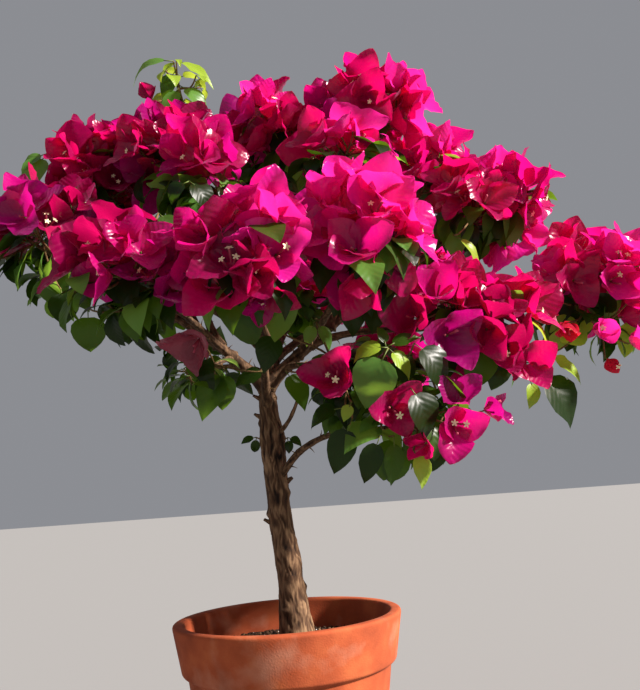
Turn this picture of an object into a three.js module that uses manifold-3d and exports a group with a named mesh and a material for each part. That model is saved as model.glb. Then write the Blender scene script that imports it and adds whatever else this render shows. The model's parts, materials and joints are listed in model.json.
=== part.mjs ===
// A bougainvillea grown as a small standard in a clay pot: pot, soil, trunk, boughs and masses of
// leaves and papery bracts. Millimetres, +Z up, with the origin under the middle of the pot's foot.
import * as THREE from "three";
import { mergeVertices } from "three/addons/utils/BufferGeometryUtils.js";
import Module from "manifold-3d";

const wasm = await Module();
wasm.setup();

// Pot and soil
const POT_HEIGHT = 205;
const RIM_RADIUS = 115;
const FOOT_RADIUS = 76;
const BAND_HEIGHT = 48;
const BAND_STEP = 5;
const WALL = 7;
const FLOOR = 9;
const SOIL_DEPTH = 25;
const SOIL_FALL = 5;
const SOIL_CREST = 34;
const DRAIN_RADIUS = 6;
const DRAIN_RING = 36;
const DRAINS = 3;
const POT_SIDES = 32;
const GAP = 0.3;

// Trunk, from the soil to the fork: its middle line and its radius there
const GROUND = POT_HEIGHT - SOIL_DEPTH;
const TRUNK_LINE = [
  { at: [9, 0, GROUND + GAP], radius: 12.6 },
  { at: [5, 0, 248], radius: 12.2 },
  { at: [-1, 0, 300], radius: 11.2 },
  { at: [-3, 0, 340], radius: 11.6 },
  { at: [-5, 0, 384], radius: 13 },
  { at: [-7, 0, 412], radius: 10.4 },
  { at: [-8, 0, 438], radius: 8 },
];
const FLARE = 6;
const FLARE_HEIGHT = 24;
const TRUNK_SIDES = 12;
const TRUNK_RINGS = 12;

// Boughs
const BOUGH_SIDES = 5;
const BOUGH_RING_EVERY = 48;
const BOUGH_TIP_RADIUS = 2.4;
const BOUGH_END = 0.62; // how far from its mass's middle a bough ends, as a share of the mass
const FORK_WEIGHT = 0.62; // how much of its parent's direction most boughs keep as they leave
const LEAVING = 0.4; // how far along a bough its first bend pulls
const ARRIVING = 0.3; // how far from its tip its last bend pulls
const TAPER = 0.8;

// Twigs
const CROWN_HEART = new THREE.Vector3(45, 0, 500);
const STEM_RADIUS = 2.3;
const STEM_END = 0.2; // how far past its mass's middle a stem runs
const TWIG_RADIUS = 1.6;
const TWIG_TIP_RADIUS = 1.2;
const TWIG_SIDES = 3;
const BACKWARD = -0.72; // a shoot never turns back towards its bough by more than this
const CELL_GAP = 0.6;
const LIMB_CLEARANCE = 0.8;

// Leaves and bracts, both drawn out from a root to a point
const LEAF = { length: 66, width: 0.62, cup: 0.1 };
const BRACT = { length: 60, width: 0.86, cup: 0.16 };
const BLADE_THICKNESS = 0.034; // as a share of the length
const WIDEST = 0.42; // where along a blade it is widest
const TIP_DROOP = 0.12;
const BRACTS = 3;
const BRACT_ROOT = 3; // how deep in its shoot's tip a bract is rooted
const OPEN = 0.72; // the least angle between a bract and its shoot
const LEAF_STEPS = [0.42, 0.68, 0.93]; // where along a shoot its leaves are
const LEAF_FORWARD = 0.55;
const LEAF_DROOP = 0.35;
const TRIES = 7;
const TURN = 0.9; // how far a blade in the way is turned on at each try
const GOLDEN_ANGLE = Math.PI * (3 - Math.sqrt(5));
const UP = new THREE.Vector3(0, 0, 1);

// One mass of the crown each: its middle and half sizes, the limb that its bough leaves and where
// along it, the bough's thickness there, its number of shoots, the share of them that flower, how
// large its leaves are, 1 unless they are young, and the bough's own fork weight, if it has one.
const MASSES = [
  mass("far_left", [-222, -60, 592], [94, 88, 84], "trunk", 1, 6.8, 7, 0.6, 1, 0.3),
  mass("right_upper", [248, 0, 620], [92, 84, 68], "trunk", 1, 6.8, 7, 0.8, 1, 0.15),
  mass("top_middle", [16, 20, 730], [82, 82, 78], "trunk", 0.8, 4.8, 7, 1),
  mass("back_middle", [22, 200, 582], [96, 86, 84], "trunk", 0.95, 5.8, 7, 0.7),
  mass("low_right", [130, -114, 394], [80, 76, 68], "trunk", 0.58, 3.8, 7, 0.5, 1, 1.4),
  mass("front_middle", [-4, -198, 516], [76, 76, 72], "trunk", 0.9, 5, 7, 0.8),
  mass("upper_left", [-200, 42, 708], [84, 80, 76], "far_left", 0.55, 4.4, 6, 0.7),
  mass("top_left", [-99, -14, 706], [84, 80, 72], "far_left", 0.3, 4.6, 7, 0.9),
  mass("top_shoot", [-94, 30, 822], [46, 42, 44], "far_left", 0.42, 3, 4, 0, 0.6),
  mass("front_left", [-104, -168, 514], [90, 82, 64], "far_left", 0.22, 4.4, 7, 0.7),
  mass("inner_left", [-72, -66, 450], [46, 48, 50], "far_left", 0.2, 2.9, 4, 0.25, 0.8),
  mass("top_right", [121, 0, 730], [86, 84, 80], "right_upper", 0.35, 4.8, 7, 0.9),
  mass("right_shoulder", [190, 44, 682], [74, 78, 64], "right_upper", 0.68, 3.8, 5, 0.8),
  mass("far_right", [344, -20, 510], [106, 88, 84], "right_upper", 0.5, 4.4, 8, 0.7),
  mass("right_low", [206, -84, 474], [88, 80, 74], "right_upper", 0.25, 4.4, 7, 0.6),
  mass("front_right", [100, -180, 532], [80, 76, 66], "right_upper", 0.18, 4.2, 7, 0.8),
  mass("low_middle", [80, -106, 424], [68, 68, 62], "right_upper", 0.1, 3.4, 5, 0.4),
  mass("heart_left", [-50, -80, 630], [82, 74, 72], "top_middle", 0.3, 3.8, 6, 0.6),
  mass("heart_right", [86, -80, 642], [82, 74, 72], "top_right", 0.3, 3.8, 6, 0.6),
  mass("back_left", [-148, 150, 616], [98, 90, 86], "back_middle", 0.25, 4.6, 7, 0.7),
  mass("back_right", [188, 150, 594], [100, 92, 86], "back_middle", 0.3, 4.6, 7, 0.7),
  mass("back_top", [42, 126, 706], [92, 78, 78], "top_middle", 0.5, 4, 6, 0.9),
  mass("back_low_left", [-96, 104, 490], [78, 74, 68], "back_middle", 0.15, 3.6, 5, 0.4),
  mass("back_low_right", [130, 94, 464], [80, 74, 68], "back_middle", 0.2, 3.6, 5, 0.4),
];

const CLAY = new THREE.MeshStandardMaterial({ color: 0xb4542c, roughness: 0.85 });
const EARTH = new THREE.MeshStandardMaterial({ color: 0x3b2a1e, roughness: 1 });
const BARK = new THREE.MeshStandardMaterial({ color: 0x6d5240, roughness: 0.9 });
const BLOSSOM = new THREE.MeshStandardMaterial({ color: 0xd4147c, roughness: 0.6 });

function mass(name, centre, radii, parent, along, thickness, shoots, bloom, young = 1, fork) {
  const middle = new THREE.Vector3(...centre);
  const half = new THREE.Vector3(...radii);
  const reach = (half.x + half.y + half.z) / 3;
  const keeps = fork ?? FORK_WEIGHT;
  return { name, middle, half, reach, parent, along, thickness, shoots, bloom, young, keeps };
}

// A short repeatable series of numbers from 0 to 1.
function seeded(seed) {
  let state = seed;
  return () => {
    state = (state * 1664525 + 1013904223) % 4294967296;
    return state / 4294967296;
  };
}

function solidFrom(geometry) {
  const bare = geometry.clone();
  bare.deleteAttribute("normal");
  bare.deleteAttribute("uv");
  const merged = mergeVertices(bare, 1e-4);
  return new wasm.Manifold(
    new wasm.Mesh({
      numProp: 3,
      vertProperties: merged.attributes.position.array,
      triVerts: new Uint32Array(merged.index.array),
    }),
  );
}

function geometryOf(solid) {
  const mesh = solid.getMesh();
  const geometry = new THREE.BufferGeometry();
  geometry.setAttribute("position", new THREE.BufferAttribute(mesh.vertProperties, 3));
  geometry.setIndex(new THREE.BufferAttribute(mesh.triVerts, 1));
  geometry.computeVertexNormals();
  return geometry;
}

function named(name, geometry, material) {
  const mesh = new THREE.Mesh(geometry, material);
  mesh.name = name;
  return mesh;
}

function largestPiece(solid) {
  const pieces = solid.decompose();
  return pieces.reduce((a, b) => (b.volume() > a.volume() ? b : a));
}

// A cylinder bent along a curve, with its radius given by how far along it is.
function bentTube(curve, radiusAt, sides, rings) {
  const geometry = new THREE.CylinderGeometry(1, 1, 1, sides, rings);
  const frames = curve.computeFrenetFrames(rings, false);
  const position = geometry.attributes.position;
  const at = new THREE.Vector3();
  for (let i = 0; i < position.count; i++) {
    const ring = Math.round((position.getY(i) + 0.5) * rings);
    const radius = radiusAt(ring / rings);
    curve.getPointAt(ring / rings, at);
    at.addScaledVector(frames.normals[ring], position.getX(i) * radius);
    at.addScaledVector(frames.binormals[ring], -position.getZ(i) * radius);
    position.setXYZ(i, at.x, at.y, at.z);
  }
  return geometry;
}

// The clay pot: a tapered wall with a thick band round its mouth, and drain holes in its floor.
function makePot() {
  const wallRadius = (z) => FOOT_RADIUS + ((RIM_RADIUS - FOOT_RADIUS) * z) / POT_HEIGHT;
  const band = POT_HEIGHT - BAND_HEIGHT;
  const profile = [
    [0, 0],
    [FOOT_RADIUS - 3, 0],
    [FOOT_RADIUS, 3],
    [wallRadius(band) - BAND_STEP, band],
    [wallRadius(band + 2), band + 2],
    [RIM_RADIUS, POT_HEIGHT - 4],
    [RIM_RADIUS - 3, POT_HEIGHT],
    [RIM_RADIUS - WALL - 2, POT_HEIGHT],
    [RIM_RADIUS - WALL - BAND_STEP, POT_HEIGHT - 4],
    [wallRadius(FLOOR) - WALL - BAND_STEP, FLOOR],
    [0, FLOOR],
  ];
  const points = profile.map(([r, z]) => new THREE.Vector2(r, z));
  const lathe = new THREE.LatheGeometry(points, POT_SIDES).rotateX(Math.PI / 2);
  let pot = solidFrom(lathe);
  if (pot.volume() < 0) throw new Error("the pot's profile runs the wrong way");
  for (let i = 0; i < DRAINS; i++) {
    const turn = (2 * Math.PI * i) / DRAINS;
    const drill = new THREE.CylinderGeometry(DRAIN_RADIUS, DRAIN_RADIUS, 4 * FLOOR, 12);
    drill.rotateX(Math.PI / 2);
    drill.translate(DRAIN_RING * Math.cos(turn), DRAIN_RING * Math.sin(turn), 0);
    pot = pot.subtract(solidFrom(drill));
  }
  return pot;
}

// The soil fills the pot to a low mound with a level crest, where the trunk stands.
function makeSoil() {
  const inner = (z) => {
    const low = FOOT_RADIUS + ((RIM_RADIUS - FOOT_RADIUS) * FLOOR) / POT_HEIGHT - WALL - BAND_STEP;
    const high = RIM_RADIUS - WALL - BAND_STEP;
    return low + ((high - low) * (z - FLOOR)) / (POT_HEIGHT - 4 - FLOOR) - GAP;
  };
  const edge = GROUND - SOIL_FALL;
  const profile = [
    [0, FLOOR + GAP],
    [inner(FLOOR + GAP), FLOOR + GAP],
    [inner(edge), edge],
    [SOIL_CREST, GROUND],
    [0, GROUND],
  ];
  const points = profile.map(([r, z]) => new THREE.Vector2(r, z));
  return solidFrom(new THREE.LatheGeometry(points, POT_SIDES).rotateX(Math.PI / 2));
}

// A limb is its curve, its radius along the curve, its solid and a skin that others keep out of.
function limb(curve, radiusAt, sides, rings) {
  const steps = 24;
  const spine = [];
  for (let i = 0; i <= steps; i++) {
    spine.push({ at: curve.getPointAt(i / steps), radius: radiusAt(i / steps) });
  }
  const tube = (extra) => solidFrom(bentTube(curve, (t) => radiusAt(t) + extra, sides, rings));
  const end = new THREE.CylinderGeometry(radiusAt(1) + GAP, radiusAt(1) + GAP, 2 * GAP, sides);
  const upright = new THREE.Vector3(0, 1, 0);
  const turn = new THREE.Quaternion().setFromUnitVectors(upright, curve.getTangentAt(1));
  end.applyQuaternion(turn).translate(...curve.getPointAt(1));
  return { curve, radiusAt, spine, solid: tube(0), skin: tube(GAP).add(solidFrom(end)) };
}

function makeTrunk() {
  const curve = new THREE.CatmullRomCurve3(TRUNK_LINE.map((p) => new THREE.Vector3(...p.at)));
  const radiusAt = (t) => {
    const z = curve.getPointAt(t).z;
    const upper = Math.max(1, TRUNK_LINE.findIndex((p) => p.at[2] >= z - 1e-6));
    const [a, b] = [TRUNK_LINE[upper - 1], TRUNK_LINE[upper]];
    const share = THREE.MathUtils.smoothstep(z, a.at[2], b.at[2]);
    const flare = FLARE * Math.exp((GROUND - z) / FLARE_HEIGHT);
    return THREE.MathUtils.lerp(a.radius, b.radius, share) + flare;
  };
  const trunk = limb(curve, radiusAt, TRUNK_SIDES, TRUNK_RINGS);
  // The foot is one level cut, whatever way the trunk leans.
  const below = new THREE.BoxGeometry(200, 200, 40).translate(0, 0, GROUND + GAP - 20);
  trunk.solid = trunk.solid.subtract(solidFrom(below));
  return trunk;
}

// A bough leaves its parent partly in the parent's own direction, then bends towards its mass.
function makeBough(m, parent) {
  const start = parent.curve.getPointAt(m.along);
  const tip = start.clone().sub(m.middle).normalize();
  tip.multiplyScalar(BOUGH_END * m.reach).add(m.middle);
  const span = tip.distanceTo(start);
  const straight = tip.clone().sub(start).normalize();
  const leave = parent.curve.getTangentAt(m.along).multiplyScalar(m.keeps).add(straight);
  const arrive = m.middle.clone().sub(CROWN_HEART).normalize().add(straight);
  const curve = new THREE.CubicBezierCurve3(
    start,
    start.clone().addScaledVector(leave.normalize(), span * LEAVING),
    tip.clone().addScaledVector(arrive.normalize(), -span * ARRIVING),
    tip,
  );
  const radiusAt = (t) => m.thickness + (BOUGH_TIP_RADIUS - m.thickness) * Math.pow(t, TAPER);
  const rings = Math.max(2, Math.round(curve.getLength() / BOUGH_RING_EVERY));
  return limb(curve, radiusAt, BOUGH_SIDES, rings);
}

// Each mass keeps to its own ellipsoid and its own side of the plane between it and each neighbour.
function inOwnSpace(m, p, margin) {
  const d = p.clone().sub(m.middle);
  const share = (d.x / (m.half.x - margin)) ** 2 + (d.y / (m.half.y - margin)) ** 2;
  if (share + (d.z / (m.half.z - margin)) ** 2 > 1) return false;
  const own = d.lengthSq() - m.reach ** 2;
  return MASSES.every((other) => {
    if (other === m) return true;
    const theirs = p.distanceToSquared(other.middle) - other.reach ** 2;
    return theirs - own > 2 * (CELL_GAP + margin) * other.middle.distanceTo(m.middle);
  });
}

function clearOfLimbs(p, margin, limbs) {
  return limbs.every((l) =>
    l.spine.every((s) => p.distanceTo(s.at) > s.radius + margin + LIMB_CLEARANCE),
  );
}

// A leaf or bract is an octahedron drawn out from its root, with its sides raised and its tip low.
function blade(root, along, face, shape, size) {
  const side = along.clone().cross(face).normalize();
  const up = side.clone().cross(along).normalize();
  const length = shape.length * size;
  const geometry = new THREE.OctahedronGeometry(1, 0);
  const position = geometry.attributes.position;
  const corners = [];
  for (let i = 0; i < position.count; i++) {
    const [x, y, z] = [position.getX(i), position.getY(i), position.getZ(i)];
    const reach = Math.abs(y) > 0.5 ? (y > 0 ? 1 : 0) : WIDEST;
    const lift = Math.abs(x) * shape.cup - (reach === 1 ? TIP_DROOP : 0);
    const at = root.clone().addScaledVector(along, reach * length);
    at.addScaledVector(side, 0.5 * x * shape.width * length);
    at.addScaledVector(up, (0.5 * z * BLADE_THICKNESS + lift) * length);
    position.setXYZ(i, at.x, at.y, at.z);
    corners.push(at);
  }
  return { geometry, corners };
}

// The stem carries on from its bough's tip, a hair clear of it, and bends to the mass's far side.
function makeStem(m, bough) {
  const way = bough.curve.getTangentAt(1);
  const root = bough.curve.getPointAt(1).addScaledVector(way, GAP);
  const outward = m.middle.clone().sub(CROWN_HEART).normalize();
  const end = m.middle.clone().addScaledVector(outward, STEM_END * m.reach);
  const bend = root.clone().addScaledVector(way, 0.45 * root.distanceTo(end));
  const curve = new THREE.QuadraticBezierCurve3(root, bend, end);
  return { curve, way: end.clone().sub(root).normalize(), outward };
}

// Shoots are aimed at points spread evenly over the mass. The ones that face up and out flower.
function aimShoots(m, index, stem) {
  const sunny = stem.outward.clone().addScaledVector(UP, 0.7).normalize();
  const shoots = [];
  for (let number = 0; number < m.shoots; number++) {
    const z = 1 - (2 * (number + 0.5)) / m.shoots;
    const turn = number * GOLDEN_ANGLE + index;
    const flat = Math.sqrt(1 - z * z);
    const way = new THREE.Vector3(flat * Math.cos(turn), flat * Math.sin(turn), z);
    if (way.dot(stem.way) > BACKWARD) shoots.push({ way, number });
  }
  shoots.sort((a, b) => b.way.dot(sunny) - a.way.dot(sunny));
  shoots.forEach((shoot, rank) => (shoot.blooms = rank < Math.round(m.bloom * m.shoots)));
  return shoots.sort((a, b) => a.way.dot(stem.way) - b.way.dot(stem.way));
}

// Three bracts stand round a flowering tip.
function bractsOf(twig, random, size) {
  const way = twig.getTangentAt(1);
  const tip = twig.getPointAt(1);
  const around = way.clone().cross(new THREE.Vector3(0.3, 0.5, 0.8)).normalize();
  const first = 2 * Math.PI * random();
  return Array.from({ length: BRACTS }, (_, k) => {
    const open = OPEN + 0.35 * random();
    const scale = size * (0.85 + 0.25 * random());
    return (turn) => {
      const spoke = around.clone().applyAxisAngle(way, first + (2 * Math.PI * k) / BRACTS);
      spoke.applyAxisAngle(way, 0.3 * turn);
      const along = way.clone().multiplyScalar(Math.cos(open + 0.2 * turn));
      along.addScaledVector(spoke, Math.sin(open + 0.2 * turn));
      const root = tip.clone().addScaledVector(way, -BRACT_ROOT).addScaledVector(spoke, 0.25);
      return blade(root, along, way, BRACT, scale);
    };
  });
}

// Leaves stand off a shoot one after another, each a golden angle on, and droop.
function leavesOf(twig, random, size, shoot) {
  const axis = twig.getTangentAt(1);
  const across = axis.clone().cross(new THREE.Vector3(0.2, 0.9, 0.4)).normalize();
  const face = UP.clone().addScaledVector(shoot.way, 0.6).normalize();
  const steps = shoot.blooms ? LEAF_STEPS.slice(0, 2) : LEAF_STEPS;
  return steps.map((step, k) => {
    const root = twig.getPointAt(step);
    const first = shoot.number + k * GOLDEN_ANGLE + random();
    const scale = size * (0.72 + 0.3 * random());
    return (turn) => {
      const along = across.clone().applyAxisAngle(axis, first + turn);
      along.addScaledVector(axis, LEAF_FORWARD).addScaledVector(UP, -LEAF_DROOP).normalize();
      return blade(root, along, face, LEAF, scale);
    };
  });
}

// Everything of one mass, fused. A shoot, leaf or bract that would leave the mass's space or touch
// a limb is left out, and a leaf or bract is turned on until nothing but its shoot is in its way.
function makeMass(m, index, bough, limbs) {
  const thin = (from, to) => (t) => from + (to - from) * t;
  const stem = makeStem(m, bough);
  const twigs = [solidFrom(bentTube(stem.curve, thin(STEM_RADIUS, 1.2 * TWIG_RADIUS), 4, 2))];
  const blades = [];
  const others = limbs.filter((l) => l !== bough);
  const shoots = aimShoots(m, index, stem);
  shoots.forEach((shoot, rank) => {
    const random = seeded(index * 1000 + shoot.number * 17 + 5);
    random();
    const room = (shoot.blooms ? 0.66 * BRACT.length : 0.5 * LEAF.length) * m.young;
    const share = Math.max(0.25, 1 - room / m.reach);
    const end = shoot.way.clone().multiply(m.half).multiplyScalar(share).add(m.middle);
    const from = stem.curve.getPointAt(0.2 + (0.75 * (rank + 0.5)) / shoots.length);
    const twig = new THREE.LineCurve3(from, end);
    const fits = [0.35, 0.6, 0.85, 1].every((t) => {
      const p = twig.getPointAt(t);
      return inOwnSpace(m, p, 2) && clearOfLimbs(p, 2, others);
    });
    if (!fits) return;
    const before = [...twigs, ...blades];
    const own = [];
    const place = (make) => {
      for (let turn = 0; turn < TRIES; turn++) {
        const { geometry, corners } = make(turn * TURN);
        const free = corners.every((p) => inOwnSpace(m, p, 0) && clearOfLimbs(p, 0.5, limbs));
        if (!free) continue;
        const solid = solidFrom(geometry);
        if ([...before, ...own].some((s) => !s.intersect(solid).isEmpty())) continue;
        own.push(solid);
        return;
      }
    };
    if (shoot.blooms) bractsOf(twig, random, m.young).forEach(place);
    leavesOf(twig, random, m.young, shoot).forEach(place);
    blades.push(...own);
    twigs.push(solidFrom(bentTube(twig, thin(TWIG_RADIUS, TWIG_TIP_RADIUS), TWIG_SIDES, 1)));
  });
  return largestPiece(wasm.Manifold.union([...twigs, ...blades]));
}

const plant = new THREE.Group();
plant.add(named("pot", geometryOf(makePot()), CLAY));
plant.add(named("soil", geometryOf(makeSoil()), EARTH));

const trunk = makeTrunk();
plant.add(named("trunk", geometryOf(trunk.solid), BARK));
const limbs = new Map([["trunk", trunk]]);
for (const m of MASSES) {
  const bough = makeBough(m, limbs.get(m.parent));
  for (const other of limbs.values()) bough.solid = bough.solid.subtract(other.skin);
  bough.solid = largestPiece(bough.solid);
  limbs.set(m.name, bough);
  plant.add(named(m.name + "_bough", geometryOf(bough.solid), BARK));
}
const allLimbs = [...limbs.values()];
MASSES.forEach((m, index) => {
  const solid = makeMass(m, index, limbs.get(m.name), allLimbs);
  plant.add(named(m.name + "_foliage", geometryOf(solid), BLOSSOM));
});

export default plant;
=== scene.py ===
# %% [markdown]
# # A bougainvillea in a clay pot
# A small bougainvillea, grown as a standard: one short trunk that forks into boughs, and a wide,
# open crown of papery magenta bracts over green leaves. The solids of the plant are loaded first.
# They fix where everything is, so each step below dresses one of them, and none of them is moved.
# Sizes of the plant are written in millimetres and turned to metres as each mesh is made.

# %% Load the solids
import json
import math
from collections import namedtuple

import bpy
from mathutils import Matrix, Vector, noise

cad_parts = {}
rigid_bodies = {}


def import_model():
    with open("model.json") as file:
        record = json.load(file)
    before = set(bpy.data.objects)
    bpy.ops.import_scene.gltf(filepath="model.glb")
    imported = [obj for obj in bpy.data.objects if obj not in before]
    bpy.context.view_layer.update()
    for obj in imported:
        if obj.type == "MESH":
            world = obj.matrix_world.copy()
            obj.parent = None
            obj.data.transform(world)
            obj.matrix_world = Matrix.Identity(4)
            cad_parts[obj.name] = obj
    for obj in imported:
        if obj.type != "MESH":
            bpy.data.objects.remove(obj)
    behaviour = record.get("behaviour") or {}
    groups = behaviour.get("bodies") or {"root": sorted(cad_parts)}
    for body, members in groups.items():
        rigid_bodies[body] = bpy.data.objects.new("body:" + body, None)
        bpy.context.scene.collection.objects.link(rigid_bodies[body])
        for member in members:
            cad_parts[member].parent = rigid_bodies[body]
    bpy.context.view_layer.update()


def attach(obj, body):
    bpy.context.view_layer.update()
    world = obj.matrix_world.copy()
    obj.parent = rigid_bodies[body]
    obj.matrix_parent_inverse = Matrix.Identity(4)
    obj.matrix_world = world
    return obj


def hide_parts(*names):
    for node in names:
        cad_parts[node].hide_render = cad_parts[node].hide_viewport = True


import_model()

MM = 0.001

# %% [markdown]
# ## The camera
# The photograph looks slightly up at the crown, with the camera tilted a little to one side.
# The camera could be pointed with a constraint, but then the tilt would be lost. Here its three
# own axes are written out, which gives the exact view: right, up and forward.

# %% The camera
RIGHT = Vector((0.99737801, 0.01405632, -0.07098961))
UPWARD = Vector((0.07236785, -0.19372507, 0.9783831))
FORWARD = Vector((0.0, 0.98095516, 0.19423435))
VIEWPOINT = Vector((0.052487, -0.780, 0.324459))
LENS_MM = 38.3


def link_object(name, data):
    """Puts an object with the given mesh, lamp or camera into the scene."""
    made = bpy.data.objects.new(name, data)
    bpy.context.scene.collection.objects.link(made)
    return made


camera_data = bpy.data.cameras.new("camera")
camera_data.lens = LENS_MM
camera = link_object("camera", camera_data)
axes = Matrix((RIGHT, UPWARD, -FORWARD)).transposed().to_4x4()
camera.matrix_world = Matrix.Translation(VIEWPOINT) @ axes
bpy.context.scene.camera = camera
print("camera at", tuple(VIEWPOINT), "lens", LENS_MM, "mm")

# %% [markdown]
# ## Colours and nodes
# Colours are easiest to choose as sRGB hex codes, as in a paint program, but shaders count light,
# so one function turns a code to linear values. Another adds any node to a material, with its
# options, its inputs and, where it is a ramp of colours, its stops. Two more start a material and
# make its surface uneven: one pattern varies the gloss, and one raises the surface.


# %% Helpers for materials
def paint(code):
    """An sRGB hex colour as the linear colour that a shader takes."""
    shares = [int(code[i : i + 2], 16) / 255 for i in (1, 3, 5)]
    linear = [s / 12.92 if s <= 0.04045 else ((s + 0.055) / 1.055) ** 2.4 for s in shares]
    return (*linear, 1.0)


def set_inputs(node, inputs):
    """Gives each socket of a node a value, or a link from another node's output."""
    for socket, value in inputs.items():
        if isinstance(value, bpy.types.NodeSocket):
            node.id_data.links.new(value, node.inputs[socket])
        else:
            node.inputs[socket].default_value = value


def add_node(tree, kind, inputs=None, stops=(), **options):
    """Adds a node with its options, its inputs and the stops of its ramp."""
    made = tree.nodes.new("ShaderNode" + kind)
    for option, value in options.items():
        setattr(made, option, value)
    set_inputs(made, inputs or {})
    if stops:
        ramp = made.color_ramp.elements
        while len(ramp) < len(stops):
            ramp.new(1.0)
        for element, (position, colour) in zip(ramp, stops):
            element.position = position
            element.color = paint(colour)
    return made


def new_material(name):
    """A material, with the tree of its nodes and its shader."""
    made = bpy.data.materials.new(name)
    made.use_nodes = True
    return made, made.node_tree, made.node_tree.nodes["Principled BSDF"]


def roughen(shader, dulling, height, roughness, strength, bump_mm):
    """Makes a surface uneven. roughness is its least and most, where dulling is 0 and 1."""
    tree = shader.id_data
    least, most = roughness
    dull = add_node(tree, "MapRange", {"Value": dulling, "To Min": least, "To Max": most})
    bump = add_node(tree, "Bump", {"Height": height, "Strength": strength, "Distance": bump_mm * MM})
    set_inputs(shader, {"Roughness": dull.outputs["Result"], "Normal": bump.outputs["Normal"]})


# %% [markdown]
# ## Studio floor and light
# The plant stands on a plain grey floor. The main light comes from the right, from above and a
# little from the front, softened as through a thin cloth, and the bracts that it reaches let some
# of it through to their shaded side. It is a sun lamp, because that lights near and far things
# alike and leaves no hot spot on the floor. A weak, cool lamp in front keeps the leaves and the
# trunk from going black.

# %% Floor
FLOOR_SIZE = 30.0
FLOOR_COLOUR = "#878786"
FLOOR_ROUGHNESS = 0.95


def plain_floor():
    half = FLOOR_SIZE / 2
    corners = [(-half, -half, 0), (half, -half, 0), (half, half, 0), (-half, half, 0)]
    mesh = bpy.data.meshes.new("floor")
    mesh.from_pydata(corners, [], [(0, 1, 2, 3)])
    made = link_object("floor", mesh)
    matt, _, shader = new_material("matt studio board")
    set_inputs(shader, {"Base Color": paint(FLOOR_COLOUR), "Roughness": FLOOR_ROUGHNESS})
    mesh.materials.append(matt)
    return made


plain_floor()

# %% Lamps and sky
AIM = Vector((0.06, 0.0, 0.55))
SUN_FROM = Vector((1.5, -0.45, 0.95))
SUN_STRENGTH = 11.5
SUN_SPREAD_DEGREES = 5
SUN_COLOUR = "#fff6f0"
SKY_COLOUR = "#bfc1c8"
SKY_STRENGTH = 0.5
FILL_FROM = Vector((-1.0, -1.9, 1.1))
FILL_WIDTH = 1.6
FILL_WATTS = 2.5
FILL_COLOUR = "#dfe4ff"


def hang_lamp(name, kind, at, strength, colour):
    light = bpy.data.lights.new(name, kind)
    light.energy = strength
    light.color = paint(colour)[:3]
    lamp = link_object(name, light)
    lamp.location = at
    lamp.rotation_euler = (AIM - at).to_track_quat("-Z", "Y").to_euler()
    return light


sun = hang_lamp("soft sun", "SUN", AIM + SUN_FROM, SUN_STRENGTH, SUN_COLOUR)
sun.angle = math.radians(SUN_SPREAD_DEGREES)
fill = hang_lamp("cool front lamp", "AREA", FILL_FROM, FILL_WATTS, FILL_COLOUR)
fill.shape = "DISK"
fill.size = FILL_WIDTH
sky = bpy.data.worlds.new("pale sky")
sky.use_nodes = True
set_inputs(sky.node_tree.nodes["Background"], {"Color": paint(SKY_COLOUR), "Strength": SKY_STRENGTH})
bpy.context.scene.world = sky
bpy.context.scene.view_settings.view_transform = "Standard"
print("sun from", tuple(round(x, 2) for x in SUN_FROM.normalized()))

# %% [markdown]
# ## Gathering many small shapes into one piece
# A bush has thousands of leaves. One object each would be slow and hard to handle, so the points
# and faces of a kind are gathered in one list, and become one mesh at the end. Each list keeps
# millimetres, because the sizes of a plant are easier to read that way.

# %% Gathering
class Heap:
    """The points and faces of one piece, and a number for each point that its material reads."""

    def __init__(self):
        self.points = []
        self.faces = []
        self.marks = []

    def add(self, points, faces, marks=None):
        first = len(self.points)
        self.points.extend(points)
        self.faces.extend([tuple(first + i for i in face) for face in faces])
        self.marks.extend(marks or [0.0] * len(points))


def make_piece(name, heap, material, nodes=(), smooth=True):
    """Turns a heap into an object in metres, and hides the solids that it stands in for."""
    mesh = bpy.data.meshes.new(name)
    mesh.from_pydata([p * MM for p in heap.points], [], heap.faces)
    mesh.validate()
    mesh.polygons.foreach_set("use_smooth", [smooth] * len(mesh.polygons))
    mark = mesh.attributes.new("relief", "FLOAT", "POINT")
    mark.data.foreach_set("value", heap.marks)
    mesh.materials.append(material)
    made = link_object(name, mesh)
    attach(made, "root")
    if nodes:
        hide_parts(*nodes)
    triangles = sum(len(f) - 2 for f in heap.faces)
    print(f"{name}: {len(heap.points)} points, {triangles} triangles")
    return made


# %% [markdown]
# ## Turns and chances
# Nearly everything on a plant stands at some turn about a stem, so a few short functions give
# such directions and points. The chance in its growth comes from a seeded series, which is the
# same in every run.

# %% Turns and chances
UP = Vector((0, 0, 1))
GOLDEN_ANGLE = math.pi * (3 - math.sqrt(5))


def turns(count):
    """Angles spread evenly over one full turn."""
    return [2 * math.pi * i / count for i in range(count)]


def swing(start, side, angle):
    """The direction start, swung by an angle towards side, which stands square to it."""
    return start * math.cos(angle) + side * math.sin(angle)


def spoke(axis, turn):
    """A direction that stands square to an axis, at a turn about it."""
    made = axis.orthogonal().normalized()
    made.rotate(Matrix.Rotation(turn, 3, axis))
    return made


def scatter(random):
    """A small vector in any direction, each of its parts from -0.5 to 0.5."""
    return Vector((random() - 0.5, random() - 0.5, random() - 0.5))


def on_ring(radius, turn, z):
    """A point at a distance from the upright axis, a turn about it and a height."""
    return Vector((radius * math.cos(turn), radius * math.sin(turn), z))


def smooth_share(x, low, high):
    """How far x is from low to high, from 0 to 1, starting and ending gently."""
    t = min(1.0, max(0.0, (x - low) / (high - low)))
    return t * t * (3 - 2 * t)


def seeded(seed):
    """A short repeatable series of numbers from 0 to 1, the same one as the solids were grown by."""
    state = seed

    def step():
        nonlocal state
        state = (state * 1664525 + 1013904223) % 4294967296
        return state / 4294967296

    return step


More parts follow.
